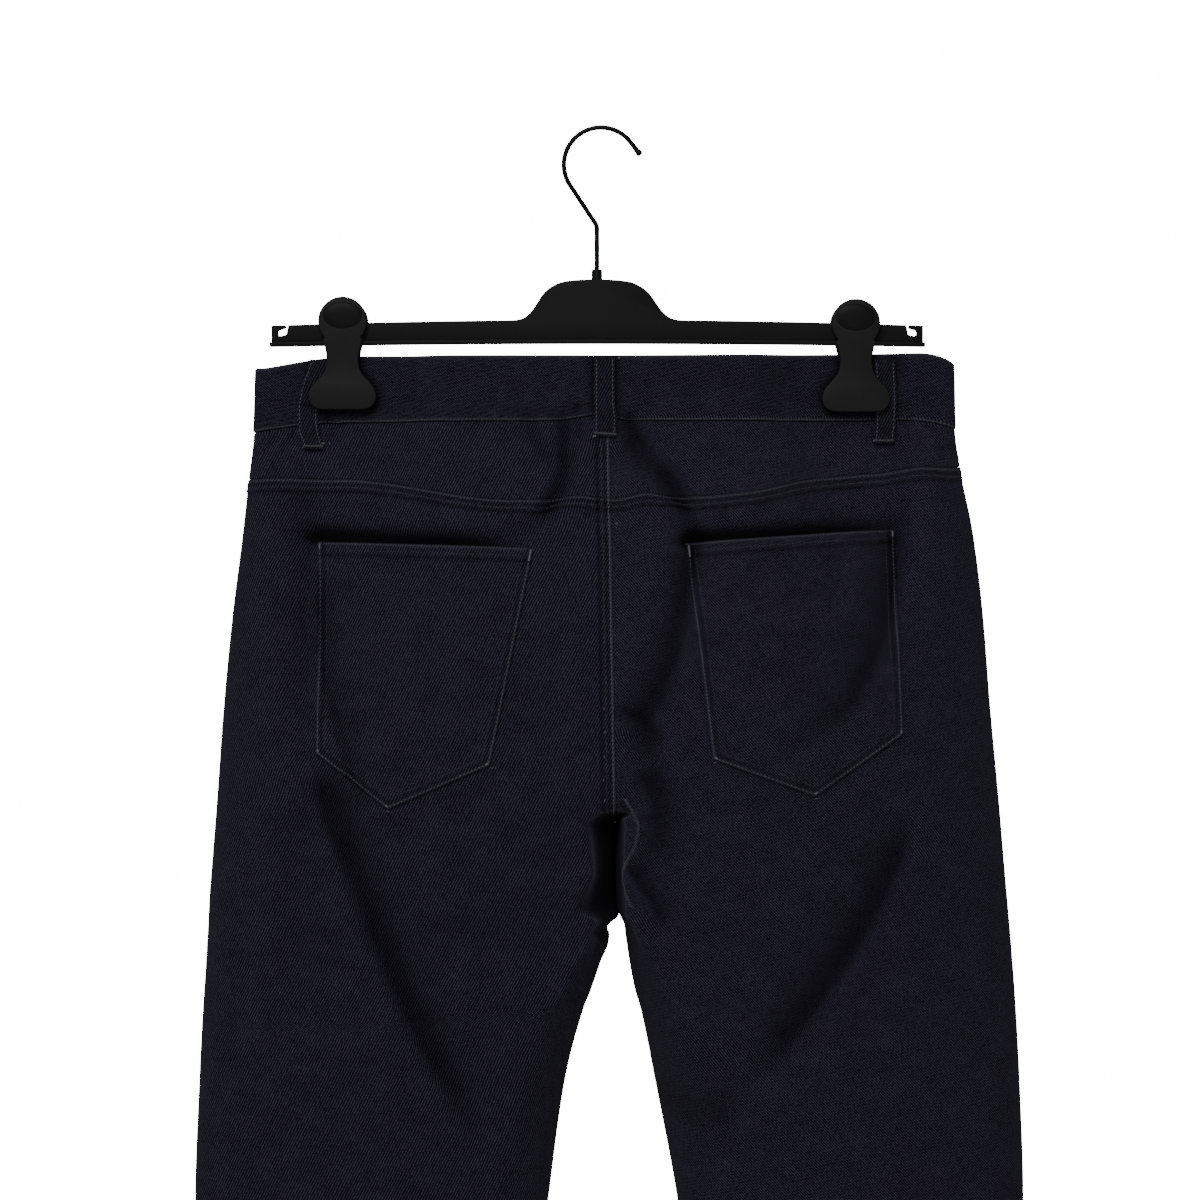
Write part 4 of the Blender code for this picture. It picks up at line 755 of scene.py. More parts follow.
panels = {
    "back": {
        "rows": ((-217, -226, 16), (-226, -400, 80), (-400, -560, 86), (-560, -680, 48),
                 (-680, -1228, 60), (-1228, -1245, 10)),
        "shares": ((0, 0.82, 96), (0.82, 0.95, 20), (0.95, 1, 16)),
    },
    "front": {
        "rows": ((-188, -280, 48), (-280, -560, 84), (-560, -1228, 66), (-1228, -1245, 10)),
        "shares": ((0, 0.82, 72), (0.82, 0.95, 12), (0.95, 1, 10)),
    },
    "facing": {"rows": ((-188, -280, 46),), "shares": ((0, 0.82, 60), (0.82, 1, 8))},
    "yoke": {
        "rows": ((-188, -190, 4), (-190, -215, 16), (-215, -217, 4)),
        "shares": ((0, 0.82, 96), (0.82, 0.95, 20), (0.95, 1, 16)),
    },
}


def felledRelief(distance, along):  # a flat-felled seam beside its edge, pulled in by stitches
    raised = felled["height"] * (1 - smooth((distance - felled["width"]) / felled["step"]))
    pulled = grooves(distance, felled["stitches"], felled["groove"])
    inBand = 1 - smooth((distance - felled["width"] + 1) / 6)
    pucker = felled["pucker"] * inBand * softNoise(along, distance * 0.3, 5.0, 5)
    return raised + pulled + pucker - felled["edge"] * (1 - smooth(distance / felled["edgeWide"]))


def felledWearAndShade(distance, pale, dark):  # a pale edge, partly wear and partly painted highlight, and painted shade in the steps between and beside the rows
    edge = pale * dent(distance, felled["edgeWide"], felled["edgeWide"])
    between = 0.5 * dent(distance, felled["between"], 0.8)
    return edge - between - dark * dent(distance, felled["beside"], 1.2)


def rounded(distance, depth, width=1.1):  # an edge that turns in
    return -depth * (1 - smooth(distance / width))


def panelSurface(face, side, kind):
    levels, share = steps(*panels[kind]["rows"]), steps(*panels[kind]["shares"])
    sideZ = levels[:, None] + np.zeros(len(share))
    points = skin(face, side, sideZ, share)
    normals = skinNormal(face, side, sideZ, share)
    u, v = arcs(points)
    fromInner, fromFoot = u[:, -1:] - u, v[-1:] - v
    seat = smooth((sideZ - heights["crotch"] - 2) / 6)
    lift = rounded(u, 0.45, 1.6) + rounded(fromInner, 0.4, 1.4) * (1 - seat)
    # pale edges here and at the hem are partly wear and partly painted highlight; values below zero
    # are painted shade
    wear = 0.25 * dent(u, 1.6, 1.2)
    if kind == "back":
        lift += felledRelief(v, u)
        lift += creaseDepth(mouthDips, points[..., 0], points[..., 2])
        wear += felledWearAndShade(v, 0.2, 0.5)
        for look, place in zip(("dimmerThread", "shadedThread"), felled["stitches"]):
            stitchRows[look].append(crossing(points + normals * lift[..., None], normals, v, place))
    if kind == "yoke":
        lift += rounded(fromFoot, 0.8) + rounded(v, 0.5)
    if kind in ("back", "front"):
        hem = smooth((hemSeam["stitch"] + 3 - fromFoot) / 3)
        lift += grooves(fromFoot, (hemSeam["stitch"],), hemSeam["groove"]) + rounded(fromFoot, 0.5)
        lift += hem * hemSeam["pucker"] * softNoise(u + v * 0.6, v * 0.2, 7.0, 9)
        wear += 0.5 * dent(fromFoot, 0.4, 0.9)
        low = slice(None, -17, -1)
        placed = (points + normals * lift[..., None])[low]
        stitchRows["thread"].append(crossing(placed, normals[low], fromFoot[low], hemSeam["stitch"]))
    if face == "back" and side == "left":
        lift += felledRelief(fromInner, v) * seat
        wear += felledWearAndShade(fromInner, 0.35, 0.6) * seat
        above = np.flatnonzero(levels > heights["crotch"] + felled["stopShort"])
        part = slice(0, above[-1] + 1), slice(None, None, -1)
        placed = (points + normals * lift[..., None])[part]
        for look, place in zip(("thread", "shadedThread"), felled["stitches"]):
            stitchRows[look].append(sideways(placed, normals[part], fromInner[part], place))
    if face == "back" and side == "right":
        lift += rounded(fromInner, 0.5) * seat
    # painted highlight on the lip, and painted shade in the hollow, in the dips above the pocket
    # mouths and in the folds
    if kind == "back":
        wear += hollowPaintedLight(sideZ, share, normals)
        dip = -creaseDepth(mouthDips, points[..., 0], points[..., 2])
        wear -= paintedShade["mouth"] * smooth(dip / paintedShade["mouthDepth"])
    wear -= paintedShade["most"] * foldShade(face, points[..., 0], points[..., 2])
    way = 1 if (face == "back") == (side == "left") else -1
    return points + normals * lift[..., None], normals, clothUv(points, way), wear


def outwards(face, side):  # whether a panel's grid has to be turned to face out
    return (face == "back") == (side == "right")


def buildPanel(face, side, kind, nodes):
    name = kind + side.title()
    points, normals, uv, wear = panelSurface(face, side, kind)
    if kind == "facing":
        points = points - normals * (cloth["thick"] + cloth["gap"])
    mesh = gridMesh(name, points, outwards(face, side), uv, wear)
    outer = "denim" if side == "left" else "leaning"
    piece = addPiece(name, mesh, (outer, "reverse"), nodes)
    if kind in ("back", "front"):
        turnedUp = piece.vertex_groups.new(name="hem")
        hemTop = (heights["hem"] + cloth["hem"]) * mm
        low = [vertex.index for vertex in mesh.vertices if vertex.co.z < hemTop]
        turnedUp.add(low, 1.0, "REPLACE")
        wall = thicken(piece, cloth["hemThick"])
        wall.vertex_group = "hem"
        wall.thickness_vertex_group = cloth["thick"] / cloth["hemThick"]
    else:
        thicken(piece, cloth["facing"] if kind == "facing" else cloth["thick"])
    return piece


frontMouth = {
    "centre": 3.0, "facingUnder": 14.0, "stitches": (1.6, 5.6),
    "points": ((94, -180), (106, -221), (150, -247), (246, -262)),
}


def mouthLine(side):  # from the side seam's end on the left leg, so that the mouth is above it
    way = -1 if side == "left" else 1
    points = [(frontMouth["centre"] + way * out, z) for out, z in frontMouth["points"]]
    return curveThrough(points[::-1] if side == "left" else points, 20)


def trim(piece, line, keep, reach=0.0):  # keeps a sheet above (1) or below (-1) a line
    sheet = bmesh.new()
    sheet.from_mesh(piece.data)
    at = np.array([(vertex.co.x, vertex.co.z) for vertex in sheet.verts]) / mm
    distance, _, away = offLine(line, at)
    depth = keep * (distance + reach)
    gone = [f for f in sheet.faces if sum(depth[v.index] for v in f.verts) < 0]
    edge = {v for f in gone for v in f.verts}
    for v in edge:
        step = -keep * depth[v.index] * away[v.index] / max(abs(distance[v.index]), 1e-6)
        dx, dz = step * np.sign(distance[v.index]) * mm
        if abs(v.normal.y) > 0.2 and abs(depth[v.index]) < 4:
            v.co += Vector((dx, -(v.normal.x * dx + v.normal.z * dz) / v.normal.y, dz))
    bmesh.ops.delete(sheet, geom=gone, context="FACES")
    sheet.to_mesh(piece.data)
    sheet.free()


made = {}
for side in ("left", "right"):
    made["back", side] = buildPanel("back", side, "back", (f"back_{side}", f"back_{side}_lower"))
    made["yoke", side] = buildPanel("back", side, "yoke", (f"yoke_{side}",))
    lengths = (f"front_{side}", f"front_{side}_thigh", f"front_{side}_lower")
    made["front", side] = buildPanel("front", side, "front", lengths)
    made["facing", side] = buildPanel("front", side, "facing", (f"pocket_facing_{side}",))
    line = mouthLine(side)
    trim(made["front", side], line, -1)
    trim(made["facing", side], line, 1, frontMouth["facingUnder"])
    for place in frontMouth["stitches"]:
        ways = unit(np.gradient(line, axis=0))
        row = line + place * np.stack([ways[:, 1], -ways[:, 0]], -1)
        row = row[np.abs(row[:, 0]) < 214]
        stitchRows["thread"].append(onFace("front", row[:, 0], row[:, 1]))
print("panels made:", len(made))

# ---- Belt loops and clips that the waistband meets ----

loopForm = {"width": 13.0, "thick": 1.5, "above": 2.0, "footFrom": 0.68, "footRun": 0.2,
            "stitches": 5.0, "groove": 0.32, "over": 2.8, "dark": 0.3}
loopNames = "face x0 x1 x2 rise footZ lift bow footLift"  # x at its top, middle and foot
loops = {
    "back_centre": ("back", 2.2, 2.2, 2.0, 2.0, -192.2, 0.3, 0.9, 0.2),
    "back_left": ("back", -173.5, -181.5, -177.5, 0.6, -198.0, 0.4, 0.0, 1.1),
    "back_right": ("back", 175.5, 176.5, 175.0, 0.6, -194.5, 0.5, 0.0, 1.0),
    "front_left": ("front", -98.0, -98.0, -98.0, 0.8, -203.0, 0.3, 0.6, 0.0),
    "front_right": ("front", 100.0, 100.0, 100.0, 0.8, -203.0, 0.3, 0.6, 0.0),
}

clips = {
    "drop": {"left": 0.0, "right": 1.4}, "face": 5.8, "thick": 3.2,
    "headRadius": 15.1, "headZ": -119.0, "headTurn": (90, -42),
    "half": ((12.4, -130.6), (10.9, -135.5), (10.0, -140.5), (10.0, -144.6), (10.7, -148.2),
             (12.4, -151.6), (14.9, -154.6), (17.6, -157.4), (19.8, -160.6), (20.9, -164.0),
             (20.8, -167.4), (19.4, -170.4), (17.0, -172.6), (13.8, -173.7), (9.0, -173.9)),
    "pad": {"left": (-9.5, 17.0), "right": (-17.0, 9.5)}, "padFace": 3.9, "padZ": (-163.0, -171.5),
    "padBevel": 0.3, "bevel": 1.1, "flare": 0.9, "flareFrom": -150, "flareRun": 24,
    "boss": 5.5, "bossLift": 0.5,
    "dome": 10.6, "domeHigh": 1.3, "domeSpan": (1.14, 1, 0.78), "domeUp": 3.6, "domeSunk": -0.5,
    "domeRings": ((1, 0), (0.93, 0.3), (0.78, 0.66), (0.5, 0.92), (0, 1)),
}


def jawOutline(x, drop):  # from the top of the head down the right, and back up the left
    head = arc(0, clips["headZ"], clips["headRadius"], *clips["headTurn"], 40)
    right = np.concatenate([head, curveThrough(clips["half"], 5)])
    left = right[1:][::-1] * (-1, 1)
    return np.concatenate([right, left]) + (x, -drop)


# ---- Waistband, one strip from the underlap round the back to the lap's end ----

band = {
    "lapX": 8.0, "lapZ": -170.0, "underlap": 0.84, "tuck": 0.4, "tuckColumns": 8,
    "rows": ((-148, -149.6, 4), (-149.6, -185.4, 22), (-185.4, -187.7, 5)),
    "footStitch": 0.95, "groove": 0.2, "pucker": 0.3,
    # shadow is painted on the cloth beside each loop and clip
    "contactShade": 0.7, "contactShadeWide": 3.2, "loopEdge": 6.25, "loopTop": -135, "loopFoot": -196,
}
lapShare = float(find("front", "right", band["lapX"], band["lapZ"])[1])
bandRuns = [
    ("front", "left", band["underlap"], 1, 12), ("front", "right", 1, 0, 100),
    ("back", "right", 0, 1, 120), ("back", "left", 1, 0, 120),
    ("front", "left", 0, 1, 100), ("front", "right", 1, lapShare, 6),
]


def bandSurface():
    levels = steps(*band["rows"])[:, None]
    points, normals = [], []
    for face, side, start, end, count in bandRuns:
        share = np.linspace(start, end, count + 1)[1 if points else 0 :]
        points.append(skin(face, side, levels, share))
        normals.append(skinNormal(face, side, levels, share))
    points, normals = np.concatenate(points, 1), np.concatenate(normals, 1)
    tucked = 1 - smooth((np.arange(points.shape[1]) - bandRuns[0][4] - 1) / band["tuckColumns"])
    u, v = arcs(points)
    fromFoot = v[-1:] - v
    lift = cloth["bandProud"] - tucked * (cloth["band"] + band["tuck"])
    lift = lift + rounded(v, 0.8) + rounded(fromFoot, 0.6, 0.9)
    lift += grooves(fromFoot, (band["footStitch"],), band["groove"])
    lift += band["pucker"] * softNoise(u, v * 0.25, 6.5, 7) * (1 - smooth((fromFoot - 1) / 10))
    # the band's edges are painted pale, partly wear and partly highlight
    wear = 0.3 * dent(v, 0.7, 0.9) + 0.25 * dent(fromFoot, 0.7, 0.9)
    placed = points + normals * lift[..., None]
    behind = (normals[..., 1] < 0).ravel()
    beside = np.full(behind.shape, 99.0)
    edges = [jawOutline(clipX[side], clips["drop"][side]) for side in clipX]
    for row in loops.values():
        if row[0] == "back":
            for aside in (-band["loopEdge"], band["loopEdge"]):
                ends = (row[1] + aside, band["loopTop"]), (row[3] + aside, band["loopFoot"])
                edges.append(np.array(ends))
    at = points.reshape(-1, 3)[behind][:, [0, 2]]
    for line in edges:
        beside[behind] = np.minimum(beside[behind], np.abs(offLine(line, at)[0]))
    # painted shadow beside the clips and the back loops
    wear = wear - band["contactShade"] * dent(beside.reshape(wear.shape), 0, band["contactShadeWide"])
    upwards = placed[::-1], normals[::-1], fromFoot[::-1]
    stitchRows["dimThread"].append(crossing(*upwards, band["footStitch"]))
    return placed, clothUv(points, -1), wear


bandPoints, bandUv, bandWearAndPaintedLight = bandSurface()
bandMesh = gridMesh("waistbandCloth", bandPoints, True, bandUv, bandWearAndPaintedLight)
waistband = addPiece("waistbandCloth", bandMesh, ("band", "reverse"), ("waistband",))
thicken(waistband, cloth["band"])
print("waistband made")

# ---- Back pockets, corners (x, z) from the top outer one round to the low outer one ----

pockets = {
    "left": ((-173, -256), (-41, -260), (-67, -391), (-129, -418), (-173, -384.5)),
    "right": ((180, -248), (51.5, -257), (67.5, -387.5), (129.5, -410), (183.5, -373)),
}
pocketForm = {
    "gape": 3.4, "gapeDown": 70.0, "gapeIn": 30.0, "columns": 80, "rows": 84,
    "stitches": (1.2, 5.6), "mouthStitch": 5.0, "groove": 0.42, "flick": 2.4, "pucker": 0.22,
    "settle": 0.7,  # how far the folds below leave its edges alone
    # the turned-in hems round it and at its mouth, as height, width and run of the step
    "hem": (0.4, 7.5, 2.5), "mouthHem": (0.45, 7, 2), "flickReach": (13, 15),
    # how pale the edges are painted, partly wear and partly highlight, and how much shade is painted
    # at the hem steps, and where
    "edgeWearAndHighlight": 0.25, "hemShade": 0.45, "hemAt": 3.4, "mouthAt": 7.8,
}


def pocketDistances(side, x, z):  # how far inside the mouth and the inner, low and outer edges
    corners = np.array(pockets[side], float)
    distances = []
    for start, end in zip(corners, np.roll(corners, -1, 0)):
        inward = np.array([end[1] - start[1], start[0] - end[0]]) / np.linalg.norm(end - start)
        inward *= np.sign(inward @ (corners.mean(0) - start))
        distances.append((x - start[0]) * inward[0] + (z - start[1]) * inward[1])
    return distances


def hemStep(distance, height, width, run):
    return height * (1 - smooth((distance - width) / run))


def pocketLift(side, x, z):  # the pocket's outer surface over the panel
    top, inner, lowInner, lowOuter, outer = pocketDistances(side, x, z)
    atSides = smooth(inner / pocketForm["gapeIn"]) * smooth(outer / pocketForm["gapeIn"])
    edge = np.minimum(np.minimum(inner, outer), np.minimum(lowInner, lowOuter))
    gape = pocketForm["gape"] * (1 - smooth(top / pocketForm["gapeDown"])) * atSides
    lift = cloth["gap"] + cloth["thick"] + gape
    lift = lift + hemStep(edge, *pocketForm["hem"]) + hemStep(top, *pocketForm["mouthHem"])
    lift = lift + grooves(edge, pocketForm["stitches"], pocketForm["groove"])
    lift = lift + grooves(top, (pocketForm["mouthStitch"],), pocketForm["groove"])
    aside, down = pocketForm["flickReach"]
    lift = lift + pocketForm["flick"] * smooth(1 - outer / aside) * smooth(1 - top / down)
    lift = lift + pocketForm["pucker"] * softNoise(x, z, 5.5, 3) * (1 - smooth((edge - 2) / 8))
    return lift + rounded(np.minimum(edge, top), 0.7, 0.9)


def pocketOutline(side, inset):  # the pocket's corners, moved in from all its edges
    corners = np.array(pockets[side], float)
    moved = []
    for before, corner, after in zip(np.roll(corners, 1, 0), corners, np.roll(corners, -1, 0)):
        ways = unit(np.array([corner - before, after - corner]))
        inward = np.stack([ways[:, 1], -ways[:, 0]], -1)
        inward *= np.sign((inward * (corners.mean(0) - corner)).sum(-1, keepdims=True))
        moved.append(corner + np.linalg.solve(inward, [inset, inset]))
    return np.array(moved)


def pocketGrid(side):  # (x, z) over the pocket, from its outer to its inner edge
    topOuter, topInner, lowInner, tip, lowOuter = np.array(pockets[side], float)
    tipShare = abs(tip[0] - lowOuter[0]) / abs(lowInner[0] - lowOuter[0])
    half = pocketForm["columns"] // 2
    across = steps((0, 0.06, 8), (0.06, tipShare, half - 8), (tipShare, 0.94, half - 8), (0.94, 1, 8))
    down = steps((0, 0.06, 9), (0.06, 0.94, pocketForm["rows"] - 18), (0.94, 1, 9))
    across, down = across[None, :, None], down[:, None, None]
    foot = np.where(
        across < tipShare, mix(lowOuter, tip, across / tipShare),
        mix(tip, lowInner, (across - tipShare) / (1 - tipShare)),
    )
    place = mix(mix(topOuter, topInner, across), foot, down)
    return place[..., 0], place[..., 1]


def onPocket(side, x, z):
    points, normals = onFace("back", x, z)
    settle = pocketForm["settle"]
    normals = unit(normals * (1 - settle) + np.array([0, -settle, 0]))
    return points + normals * pocketLift(side, x, z)[..., None], normals


def alongLine(corners, spacing=2.0):  # points of a line of straight runs
    stretches = []
    for start, end in zip(corners[:-1], corners[1:]):
        count = max(2, int(np.linalg.norm(end - start) / spacing))
        stretches.append(mix(start, end, np.linspace(0, 1, count, endpoint=False)[:, None]))
    return np.concatenate([*stretches, corners[-1:]])


for side in ("left", "right"):
    x, z = pocketGrid(side)
    points, normals = onPocket(side, x, z)
    top, *others = pocketDistances(side, x, z)
    edge = np.minimum.reduce(others)
    # pale edges are partly wear and partly painted highlight; the hem steps and the folds get painted
    # shade
    wear = pocketForm["edgeWearAndHighlight"] * dent(np.minimum(top, edge), 0.6, 0.9)
    wear = wear - pocketForm["hemShade"] * dent(edge, pocketForm["hemAt"], 0.8)
    wear = wear - pocketForm["hemShade"] * dent(top, pocketForm["mouthAt"], 1.2)
    wear = wear - paintedShade["most"] * foldShade("back", x, z)
    name = "pocket" + side.title()
    mesh = gridMesh(name, points, side == "right", clothUv(points, 1 if side == "left" else -1), wear)
    outer = "denim" if side == "left" else "leaning"
    made["pocket", side] = addPiece(name, mesh, (outer, "reverse"), (f"back_pocket_{side}",))
    thicken(made["pocket", side], cloth["thick"])
    for look, place in zip(("thread", "shadedThread"), pocketForm["stitches"]):
        outlineIn = pocketOutline(side, place)
        row = alongLine(np.array([outlineIn[0], *outlineIn[:0:-1], outlineIn[1]])[[0, 1, 2, 3, 5]])
        stitchRows[look].append(onPocket(side, row[:, 0], row[:, 1]))
    for look, place in (("dimmerThread", 1.0), ("shadedThread", pocketForm["mouthStitch"])):
        row = alongLine(pocketOutline(side, place)[:2])
        stitchRows[look].append(onPocket(side, row[:, 0], row[:, 1]))
print("pockets made")

# ---- Belt loops ----


def loopSurface(loop, down, aside):  # aside in millimetres from the middle of the strap
    topZ = float(onFace(loop["face"], loop["x0"], heights["waistTop"] + loopForm["above"])[0][2])
    middle = mix(loop["x0"], loop["x2"], down)
    middle = middle + (loop["x1"] - (loop["x0"] + loop["x2"]) / 2) * 4 * down * (1 - down)
    z = mix(topZ + loop["rise"], loop["footZ"], down)
    points, normals = onFace(loop["face"], middle + aside, z)
    normals[..., 2] = 0
    normals = unit(normals)
    step = smooth((down - loopForm["footFrom"]) / loopForm["footRun"])
    lift = loop["lift"] + cloth["bandProud"] + loop["bow"] * np.sin(math.pi * down) ** 0.5
    lift = lift + (loop["footLift"] - cloth["bandProud"]) * step + loopForm["thick"]
    lift = lift + rounded(loopForm["width"] / 2 - np.abs(aside), 0.5)
    lift = lift + grooves(np.abs(aside), (loopForm["stitches"],), loopForm["groove"])
    points[..., 2] += loopForm["over"] * (1 - smooth(down / 0.12))
    return points + normals * lift[..., None], normals


tackRows = []
tackForm = {"width": 1.5, "pitch": 0.6, "thick": 0.62, "height": 0.5, "lift": 0.12, "knotLift": 2.3}
for name, row in loops.items():
    loop = dict(zip(loopNames.split(), row))
    width = np.linspace(-0.5, 0.5, 27) * loopForm["width"]
    down, aside = np.meshgrid(np.linspace(0, 1, 49), width, indexing="ij")
    points, normals = loopSurface(loop, down, aside)
    title = "loop" + "".join(part.title() for part in name.split("_"))
    # the strap's edges are painted pale, partly wear and partly highlight, and the whole strap is
    # darkened
    wear = 0.2 * dent(loopForm["width"] / 2 - np.abs(aside), 0.4, 0.8) - loopForm["dark"]
    mesh = gridMesh(title, points, loop["face"] == "front", clothUv(points, 1), wear)
    made["loop", name] = addPiece(title, mesh, ("denim", "denim"), (f"belt_loop_{name}",))
    thicken(made["loop", name], loopForm["thick"], 0)
    for way in (-1, 1):
        line = np.linspace(0.03, 0.97, 40)
        stitchRows["thread"].append(loopSurface(loop, line, np.full(40, way * loopForm["stitches"])))
    across = np.linspace(-0.5, 0.5, 14) * loopForm["width"]
    tackRows.append(loopSurface(loop, np.full(14, 0.965), across))
print("belt loops made")

# ---- Fly and button ----

flyForm = {"width": 38.0, "overlap": 6.0, "top": -192.5, "foot": -338.0, "turn": -292.0,
           "close": 0.985, "stitches": (2.0, 7.0)}


def onFly(down, across, inset=0.0):  # inset in millimetres from the fly's outer edge
    z = mix(flyForm["top"], flyForm["foot"] + inset, down)
    turn = np.clip((flyForm["turn"] - z) / (flyForm["turn"] - flyForm["foot"] - inset), 0, 1)
    centre = column(outline, "innerLeft", z)
    outerX = centre - (flyForm["width"] - inset) * np.sqrt(1 - (flyForm["close"] * turn) ** 2)
    x = mix(outerX, centre + flyForm["overlap"], across)
    points, normals = onFace("front", x, z)
    edge = np.minimum(x - outerX + inset, centre + flyForm["overlap"] - x)
    lift = cloth["gap"] + cloth["thick"] + rounded(edge, 0.5)
    return points + normals * lift[..., None], normals


down, across = np.meshgrid(np.linspace(0, 1, 61), np.linspace(0, 1, 33), indexing="ij")
points, normals = onFly(down, across)
mesh = gridMesh("flyCloth", points, True, clothUv(points, -1))
made["fly", "left"] = addPiece("flyCloth", mesh, ("denim", "reverse"), ("fly",))
thicken(made["fly", "left"], cloth["thick"])
for place in flyForm["stitches"]:
    stitchRows["thread"].append(onFly(np.linspace(0.02, 1, 70), np.zeros(70), place))
tackRows.append(onFly(np.linspace(0.955, 0.999, 14), np.full(14, 0.45)))


def turned(rings, sides, centre=(0, 0)):  # a closed form turned about an upright axis
    shape = bmesh.new()
    x, y = centre
    points = [shape.verts.new(((x + radius) * mm, y * mm, z * mm)) for radius, z in rings]
    edges = [shape.edges.new(pair) for pair in zip(points, points[1:])]
    bmesh.ops.spin(
        shape, geom=points + edges, axis=(0, 0, 1), cent=(x * mm, y * mm, 0),
        angle=2 * math.pi, steps=sides, use_merge=True,
    )
    bmesh.ops.remove_doubles(shape, verts=shape.verts[:], dist=1e-6)
    bmesh.ops.recalc_face_normals(shape, faces=shape.faces[:])
    return shape


def meshOf(name, shape, sharp=40):
    mesh = bpy.data.meshes.new(name)
    shape.to_mesh(mesh)
    shape.free()
    mesh.shade_smooth()
    mesh.set_sharp_from_angle(angle=math.radians(sharp))
    return mesh


button = {
    "x": -9.0, "z": -171.0, "stand": 0.8,
    "rings": ((0, 0), (4.4, 0), (4.4, 1.0), (8.1, 1.1), (8.5, 1.4), (8.5, 1.9), (8.1, 2.4),
              (7.4, 2.6), (6.8, 2.4), (6.2, 2.05), (3.2, 1.95), (2.9, 2.2), (2.2, 2.35), (0, 2.4)),
}
point, normal = onFace("front", button["x"], button["z"])
shape = turned(button["rings"], 64)
turn = Vector(normal).to_track_quat("Z", "X").to_matrix().to_4x4()
bmesh.ops.transform(shape, matrix=turn, verts=shape.verts[:])
place = Vector(point + normal * (cloth["bandProud"] + button["stand"])) * mm
bmesh.ops.translate(shape, verts=shape.verts[:], vec=place)
mesh = meshOf("waistButton", shape)
made["button", "front"] = addPiece("waistButton", mesh, ("button",), ("waist_button",))
print("fly and button made")

# ---- Hanger ----

hanger = {"x": -2.3, "half": 203.0, "tab": 1.2, "top": -118.6, "foot": -132.0, "web": 7.0,
          "flange": 11.0, "flangeHigh": 2.4, "flangeDrop": 0.4, "flangeBevel": 0.5,
          "sag": 1.9, "bevel": 0.7}
hump = {
    "half": ((0, -92.7), (7.4, -92.9), (15, -93.4), (18.6, -93.9), (22.3, -94.7), (26, -96.3),
             (29.8, -98.7), (33.5, -102.3), (37.2, -107.8), (40.8, -112.8), (45.2, -116.5),
             (49.4, -117.8), (54, -118.15)),
    "aside": -0.6, "asideFrom": 28, "asideRun": 24, "arm": 0.7, "end": -1.0,
}
notch = {"inset": 7.2, "z": -125.9, "radius": 2.1, "depth": 9.0,
         "mouth": ((3.3, -1.2), (5.4, 8.5), (1.6, 8.5), (3.0, 3.2))}
collar = {"x": -2.5, "rings": ((0, -99.6), (3.4, -99.6), (3.4, -93.5), (3.3, -87.6), (3.1, -86.9),
                               (2.6, -86.5), (1.9, -86.4), (1.9, -99.0), (0, -99.0))}


def flatFace(points):  # a closed face through an outline of (x, z)
    shape = bmesh.new()
    bmesh.ops.create_circle(shape, cap_ends=True, segments=len(points), radius=1)
    shape.verts.ensure_lookup_table()
    for vertex, (x, z) in zip(shape.verts, points):
        vertex.co = (x * mm, 0, z * mm)
    return shape


def plate(points, low, high, bevel=0.0):  # an outline of (x, z) given depth along y
    shape = flatFace(points)
    bmesh.ops.translate(shape, verts=shape.verts[:], vec=(0, low * mm, 0))
    grown = bmesh.ops.extrude_face_region(shape, geom=shape.faces[:], use_keep_orig=True)
    moved = [part for part in grown["geom"] if isinstance(part, bmesh.types.BMVert)]
    bmesh.ops.translate(shape, verts=moved, vec=(0, (high - low) * mm, 0))
    bmesh.ops.recalc_face_normals(shape, faces=shape.faces[:])
    if bevel:
        rims = [e for e in shape.edges if abs(e.verts[0].co.y - e.verts[1].co.y) < 1e-7]
        bmesh.ops.bevel(
            shape, geom=rims, offset=bevel * mm, offset_type="OFFSET", segments=4, profile=0.5,
            affect="EDGES", material=-1, clamp_overlap=True,
        )
    return shape


def carved(piece, cutters):  # cuts shapes out of a piece, and keeps the result as its mesh
    helpers = []
    for number, shape in enumerate(cutters):
        helper = bpy.data.objects.new("cutter", meshOf("cutter", shape))
        bpy.context.scene.collection.objects.link(helper)
        cut = piece.modifiers.new(f"Cut{number}", "BOOLEAN")
        cut.operation, cut.solver, cut.object = "DIFFERENCE", "EXACT", helper
        helpers.append(helper)
    keepMesh(piece)
    for helper in helpers:
        bpy.data.objects.remove(helper)


def keepMesh(piece, sharp=35):
    evaluated = piece.evaluated_get(bpy.context.evaluated_depsgraph_get())
    mesh = bpy.data.meshes.new_from_object(evaluated)
    piece.modifiers.clear()
    piece.data = mesh
    mesh.shade_smooth()
    mesh.set_sharp_from_angle(angle=math.radians(sharp))


def sag(x):
    return -hanger["sag"] * (x / hanger["half"]) ** 2


def barOutline():
    half = hanger["half"] - hanger["tab"]
    x = np.linspace(hump["half"][-1][0], half, 16)[1:]
    arm = mix(hump["arm"], hump["end"], (x / half) ** 2)
    right = np.stack([x, hanger["top"] + arm + sag(x)], -1)
    right = np.concatenate([curveThrough(hump["half"], 4), right])
    top = np.concatenate([right[:0:-1] * (-1, 1), right])
    beyond = smooth((np.abs(top[:, 0]) - hump["asideFrom"]) / hump["asideRun"])
    top[:, 0] += hump["aside"] * (1 - beyond)
    footX = np.linspace(half, -half, 40)
    foot = hanger["foot"] + sag(footX)
    return np.concatenate([top, np.stack([footX, foot], -1)]) + (hanger["x"], 0)


def flangeOutline():
    x = np.linspace(-hanger["half"], hanger["half"], 40)
    low = np.stack([hanger["x"] + x, hanger["foot"] - hanger["flangeDrop"] + sag(x)], -1)
    return np.concatenate([low, low[::-1] + (0, hanger["flangeHigh"])])


def notchShape(way):
    eye = arc(0, 0, notch["radius"], 90, 270, 20)
    centreX = hanger["x"] + way * (hanger["half"] - notch["inset"])
    points = np.concatenate([eye, notch["mouth"]]) * (-way, 1) + (centreX, notch["z"])
    return plate(points, -notch["depth"], notch["depth"])


